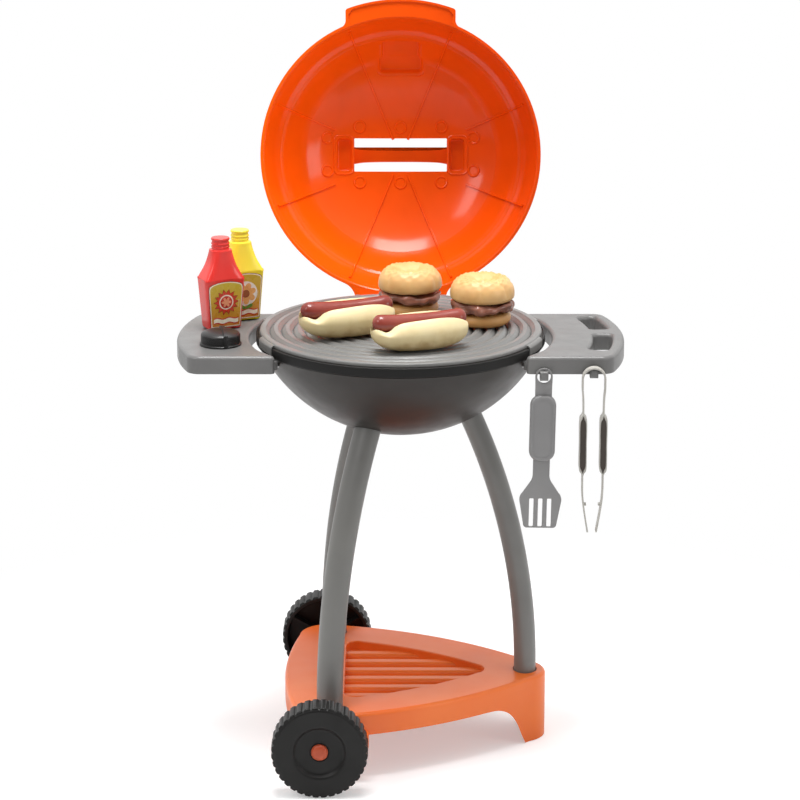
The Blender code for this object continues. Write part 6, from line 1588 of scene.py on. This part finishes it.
def bun_section(x):
    """One slice of the hot-dog bun: round below, two lips above and the trough between them."""
    share = min(0.9995, abs(x) / BUN_REACH)
    reach = (1 - share ** 2.6) ** (1 / 2.6)
    wide = 0.024 * reach
    middle = 0.019 + 0.0062 * (1 - reach)
    low, top = middle - 0.019 * reach, middle + 0.019 * reach
    along = x / BUN_REACH
    dip = 0.0095 * bell((along + 0.74) / 0.16) + 0.0045 * max(0, (0.4 - along) / 1.4)
    dip += 0.0055 * max(0, (along - 0.62) / 0.38) ** 1.8
    back = top + 0.0018 * reach - 0.3 * dip * reach
    top -= dip * reach
    trough = min(sausage_radius(min(abs(x), 0.0535)) + 0.0004, wide * 0.62)
    seat = min(bowed(x), top - 0.0004)
    floor = max(min(seat - trough, top - 0.001), low + 0.003 * reach)

    def side(lip):
        return [(trough * 0.7, floor + (seat - floor) * 0.3), (trough, seat),
                (trough + 0.03 * wide, (seat + lip) / 2), (trough * 0.6 + wide * 0.34, lip),
                (wide * 0.86, middle + (lip - middle) * 0.66),
                (wide * 0.985, middle + (lip - middle) * 0.28), (wide, middle - 0.002 * reach),
                (wide * 0.95, middle - 0.009 * reach), (wide * 0.78, low + 0.0042 * reach),
                (wide * 0.45, low + 0.0008 * reach)]
    ring = [(0, floor)] + side(back) + [(0, low)] + mirrored(side(top))
    count = len(ring)
    line = []
    for index in range(count):
        a, b, c, d = (Vector(ring[(index + offset) % count]) for offset in (-1, 0, 1, 2))
        for step in range(3):
            t = step / 3
            line.append((b * 2 + (c - a) * t + (a * 2 - b * 5 + c * 4 - d) * t * t
                         + (b * 3 - a - c * 3 + d) * t ** 3) / 2)
    return [Vector((x, point.x, point.y)) for point in line]


def dented(piece, dents):
    """Press small creases into a soft piece: (middle, half length, half width, depth, way)."""
    def press(vertex):
        for middle, reach, width, depth, way in dents:
            way = Vector(way).normalized()
            away = vertex.co - Vector(middle)
            along = away.dot(way)
            across = (away - way * along).length
            if abs(along) < reach and across < width * 3:
                vertex.co -= vertex.normal * (depth * (1 - (along / reach) ** 2) ** 2 * bell(across / width))
    reshaped(piece, press)


def make_hot_dog(index, x, y, turn):
    place = KETTLE @ shift((x, y, GRATE_TOP_Z + CLEARANCE)) @ turn_by(turn)
    stations = [BUN_REACH * sin(radians(angle)) for angle in range(-86, 87, 4)]
    bun = lofted("bun_%d_bread" % index, [bun_section(station) for station in stations])
    applied(bun, "SUBSURF", levels=1, render_levels=1)
    dented(bun, [((0.008, -0.0228, 0.012), 0.006, 0.0012, 0.0011, (0.7, 0, -0.6)),
                 ((-0.028, -0.017, 0.006), 0.0045, 0.0011, 0.001, (0.1, 0, 1)),
                 ((0.034, 0.019, 0.01), 0.0055, 0.0012, 0.001, (0.6, 0, 0.6)),
                 ((-0.02, 0.0225, 0.012), 0.005, 0.0011, 0.001, (0.4, 0, -0.8))])
    settle(bun, "hot_dog_bun_%d" % index, "bread", ["hot_dog_bun_%d" % index], place, 60, False)
    stations = [SAUSAGE_REACH * sin(radians(angle)) for angle in range(-84, 85, 6)]
    rings = [sausage_ring(station, max(sausage_radius(station), 0.0024)) for station in stations]
    rings = [sausage_ring(-SAUSAGE_REACH, 0.0017)] + rings + [sausage_ring(SAUSAGE_REACH, 0.0017)]
    sausage = lofted("sausage_%d_skin" % index, rings)
    creases = []
    for end in (-1, 1):
        for step in range(5):
            around = 2 * pi * step / 5 + 0.4
            creases.append(((end * 0.0535, 0.0048 * cos(around), bowed(0.0535) + 0.0048 * sin(around)),
                            0.0036, 0.0008, 0.0006, (end * 0.5, -cos(around), -sin(around))))
    dented(sausage, creases)
    settle(sausage, "sausage_%d" % index, "sausage_brown", ["sausage_%d" % index], place, 60, False)


def lumped(piece, depth, scale, seed):
    """Push a round piece in and out a little, as shaped by hand."""
    def push(vertex):
        value = noise.noise(vertex.co * scale + Vector((seed, seed * 2, 0)))
        vertex.co += vertex.normal * depth * (value - 0.5)
    reshaped(piece, push)


def round_food(name, radius, height, foot, side, steps, count, base):
    """A round piece turned about its middle: foot heights in metres, side heights as shares of the height."""
    points = [(radius * out, up) for out, up in foot] + [(radius * out, height * up) for out, up in side]
    return turned(name, [(out, base + up) for out, up in curve(points, steps)], count)


def make_burger(index, x, y):
    heel = round_food("burger_%d_heel" % index, 0.0338, 0.015, ((0, 0.0003), (0.7, 0.0002), (0.86, 0.0008)),
                      ((0.97, 0.27), (1, 0.52), (0.965, 0.78), (0.87, 0.94), (0.7, 1), (0, 1)), 4, 96,
                      GRATE_TOP_Z + CLEARANCE)
    lumped(heel, 0.0005, 60, index)
    patty = round_food("burger_%d_patty" % index, 0.0386, 0.0138,
                       ((0, 0.0004), (0.8, 0.0003), (0.93, 0.0012)),
                       ((0.99, 0.3), (1, 0.52), (0.985, 0.75), (0.92, 0.95), (0.78, 1), (0, 1)), 5, 160,
                       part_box("patty_%d" % index)[0].z)
    lumped(patty, 0.0038, 78, index + 3)
    radius, height = 0.037, 0.0248
    crown = round_food("burger_%d_crown" % index, radius, height,
                       ((0, 0.0003), (0.82, 0.0003), (0.93, 0.0012)),
                       ((0.99, 0.12), (1, 0.26), (0.985, 0.48), (0.93, 0.7), (0.81, 0.89), (0.62, 0.985),
                        (0.3, 1), (0, 1)), 6, 144, 0)
    folded(crown, radius, height, 0.5 + index)
    laid(crown, shift((0, 0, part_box("burger_crown_%d" % index)[0].z)))
    for piece, kind, slot in ((heel, "burger_base", "roll"), (patty, "patty", "patty_brown"),
                              (crown, "burger_crown", "roll")):
        name = "%s_%d" % (kind, index)
        settle(piece, name, slot, [name], KETTLE @ shift((x, y, 0)), 60, False)


def folded(piece, radius, height, seed):
    """Soft folds of the dough up the side, a knobbly ring on top and an oval hollow in the middle."""
    def fold(vertex):
        out, up = vertex.co.xy.length, vertex.co.z / height
        if up < 0.02:
            return
        around = atan2(vertex.co.y, vertex.co.x)
        swirl = around + seed + 0.8 * max(0, 1 - out / radius) ** 1.2
        ridge = abs(sin(swirl * 3.5))
        flank = min(1, up * 2.2) * min(1, max(0, 1.03 - up) / 0.3)
        press = (0.0011 + 0.0006 * sin(around * 2 + seed)) * (1 - ridge) ** 2.5 * flank
        swell = 0.0006 * ridge * min(1, up * 3)
        ring = bell((out - radius * 0.66) / (radius * 0.2))
        lumps = sin(around * 15 + seed + 6 * out / radius) * sin(out * 1050 + seed)
        knobs = 0.0021 * ring * (0.5 + 0.5 * lumps)
        hollow = 0.0062 * bell((vertex.co.x / 0.0155) ** 2 + (vertex.co.y / 0.0125) ** 2, 1.6)
        vertex.co += vertex.normal * (knobs + swell - press)
        if up > 0.6:
            vertex.co.z -= hollow
    reshaped(piece, fold)


# Spatula and tongs

def make_spatula():
    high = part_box("spatula")[1]
    place = shift((0.16154, -SHELF_HALF - 0.0025, high.z - 0.0098)) @ turn_by(radians(1), "Y")
    neck, blade, tip = 0.0095, 0.0248, 0.0183
    grip_under, blade_top, shoulder, end = -0.0985, -0.12, -0.141, -0.1785
    side = curve([(-neck, -0.012), (-neck, -0.06), (-neck, blade_top), (-neck - 0.003, blade_top - 0.005),
                  (-blade + 0.004, shoulder + 0.0035), (-blade, shoulder), (-tip, end)], 1)
    corners = [(way * x, z, width, steps) for x, z, width, steps in ((tip, end, 0.0035, 6),
                                                                     (blade, shoulder, 0.006, 6),
                                                                     (neck, blade_top, 0.004, 4))
               for way in (-1, 1)]
    body = raised("spatula_plate", arc(0.0098, 0, pi, 24) + side + mirrored(side), -0.0015, 0.0015, 0, 4,
                  corners)
    half = 0.0147
    grip = raised("spatula_grip", oblong(-half, grip_under, half, -0.0215, 0.012, 9), -0.0016, 0.006)
    bevelled(grip, 0.003, 6, lambda a, b: min(a.z, b.z) > 0.0059)
    half -= 0.0042
    cut(grip, raised("grip_pad", oblong(-half, grip_under + 0.0045, half, -0.026, 0.0085, 9), 0.0055, 0.0068))
    add(body, grip)
    cut(body, raised("ring_hole", arc(0.0077, 0, 2 * pi, 40)[:-1], -0.01, 0.01))
    for middle in (-0.0101, 0, 0.0101):
        slot = oblong(-0.0025, shoulder - 0.0365, 0.0025, shoulder - 0.0025, 0.0012, 4)
        cut(body, raised("slot", [(middle + x, z) for x, z in slot], -0.01, 0.01))
    softened(body, 0.0006, 3, 45)
    settle(laid(body, place @ turn_by(pi / 2, "X")), "spatula", "tool_grey", ["spatula"], angle=35)


def band_along(name, path, thickness, low, high):
    """A flat strip of metal that follows a path of (x, z) points seen from the front."""
    outline = inside(path, thickness / 2) + inside(path, -thickness / 2)[::-1]
    return softened(pulled(name, outline, low, high), 0.0004, 2, 50)


def lens_outline(x, top, half, start, end, point):
    """A long leaf seen from the front, pointed at both ends."""
    side = curve([(point, -start), (point + half * 0.3, -start - 0.0035), (half, -start - 0.0095),
                  (half, -(start + end) / 2), (half, -end + 0.0095), (point + half * 0.3, -end + 0.0035),
                  (point, -end)], 5)
    return ([(x + across, top + up) for across, up in side]
            + [(x - across, top + up) for across, up in reversed(side)])


def make_tongs():
    x = 0.21754
    radius = 0.0138 - 0.0011
    low, high = -0.113, -0.103
    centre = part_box("tongs_bow")[1].z - 0.0138
    path = [(x - radius, centre - 0.012)] + [(x - radius * cos(pi * step / 32),
                                              centre + radius * sin(pi * step / 32))
                                             for step in range(33)] + [(x + radius, centre - 0.012)]
    bow = band_along("tongs_spring", path, 0.002, low, high)
    settle(bow, "tongs", "tongs_silver", ["tongs_bow"])
    top = centre - 0.012 - 0.0003
    for name, side in (("left", -1), ("right", 1)):
        start = x + side * radius
        points = curve([(0.0, 0.0), (0.02, 0.0012), (0.09, 0.0012), (0.128, 0.0018), (0.168, 0.0078)], 8)
        path = [(start - side * inward, top - down) for down, inward in points]
        arm = band_along("tongs_%s_strip" % name, path, 0.0019, low, high)
        nub_x = start - side * 0.0018
        near, far = sorted((nub_x, nub_x - side * 0.0042))
        nub = block("nub", (near, -0.1105, top - 0.137), (far, -0.1055, top - 0.134), 0.0006, 2)
        add(arm, nub)
        body = "tongs_%s_arm" % name
        middle = start - side * 0.0012
        frame_ring = pulled("grip_frame", lens_outline(middle, top, 0.0043, 0.0268, 0.1012, 0.0006),
                            -0.1138, -0.1022)
        cut(frame_ring, pulled("grip_seat", lens_outline(middle, top, 0.0031, 0.0305, 0.0975, 0.0003),
                               -0.12, -0.09))
        add(arm, softened(frame_ring, 0.0005, 2, 50))
        settle(arm, body, "tongs_silver", [body])
        make_tongs_grip(name, body, middle, top)


def make_tongs_grip(name, body, x, top):
    """The dark core let into the frame on each arm, with the arm running through it."""
    core = pulled("tongs_%s_core" % name, lens_outline(x, top, 0.003, 0.0307, 0.0973, 0.0002), -0.1143,
                  -0.1017)
    cut(core, block("channel", (x - 0.0013, -0.1133, top - 0.11), (x + 0.0013, -0.1027, top - 0.02)))
    softened(core, 0.0006, 3, 50)
    settle(core, body, "grip_brown", ["tongs_%s_grip" % name])


# Assembly

FINISHES = make_finishes()
make_camera()
make_light()
make_floor()
make_bowl()
make_band()
make_grate()
make_lid()
make_shelves()
make_knob()
make_click()
make_legs()
make_tray()
make_wheel("front_wheel", -1, "front_wheel")
make_wheel("rear_wheel", 1, "rear_wheel")
make_axle()
make_screws()
make_hinge()
for kind in BOTTLES:
    make_bottle(kind)
for index, (x, y, turn) in enumerate(HOT_DOGS):
    make_hot_dog(index + 1, x, y, turn)
for index, (x, y) in enumerate(BURGERS):
    make_burger(index + 1, x, y)
make_spatula()
make_tongs()
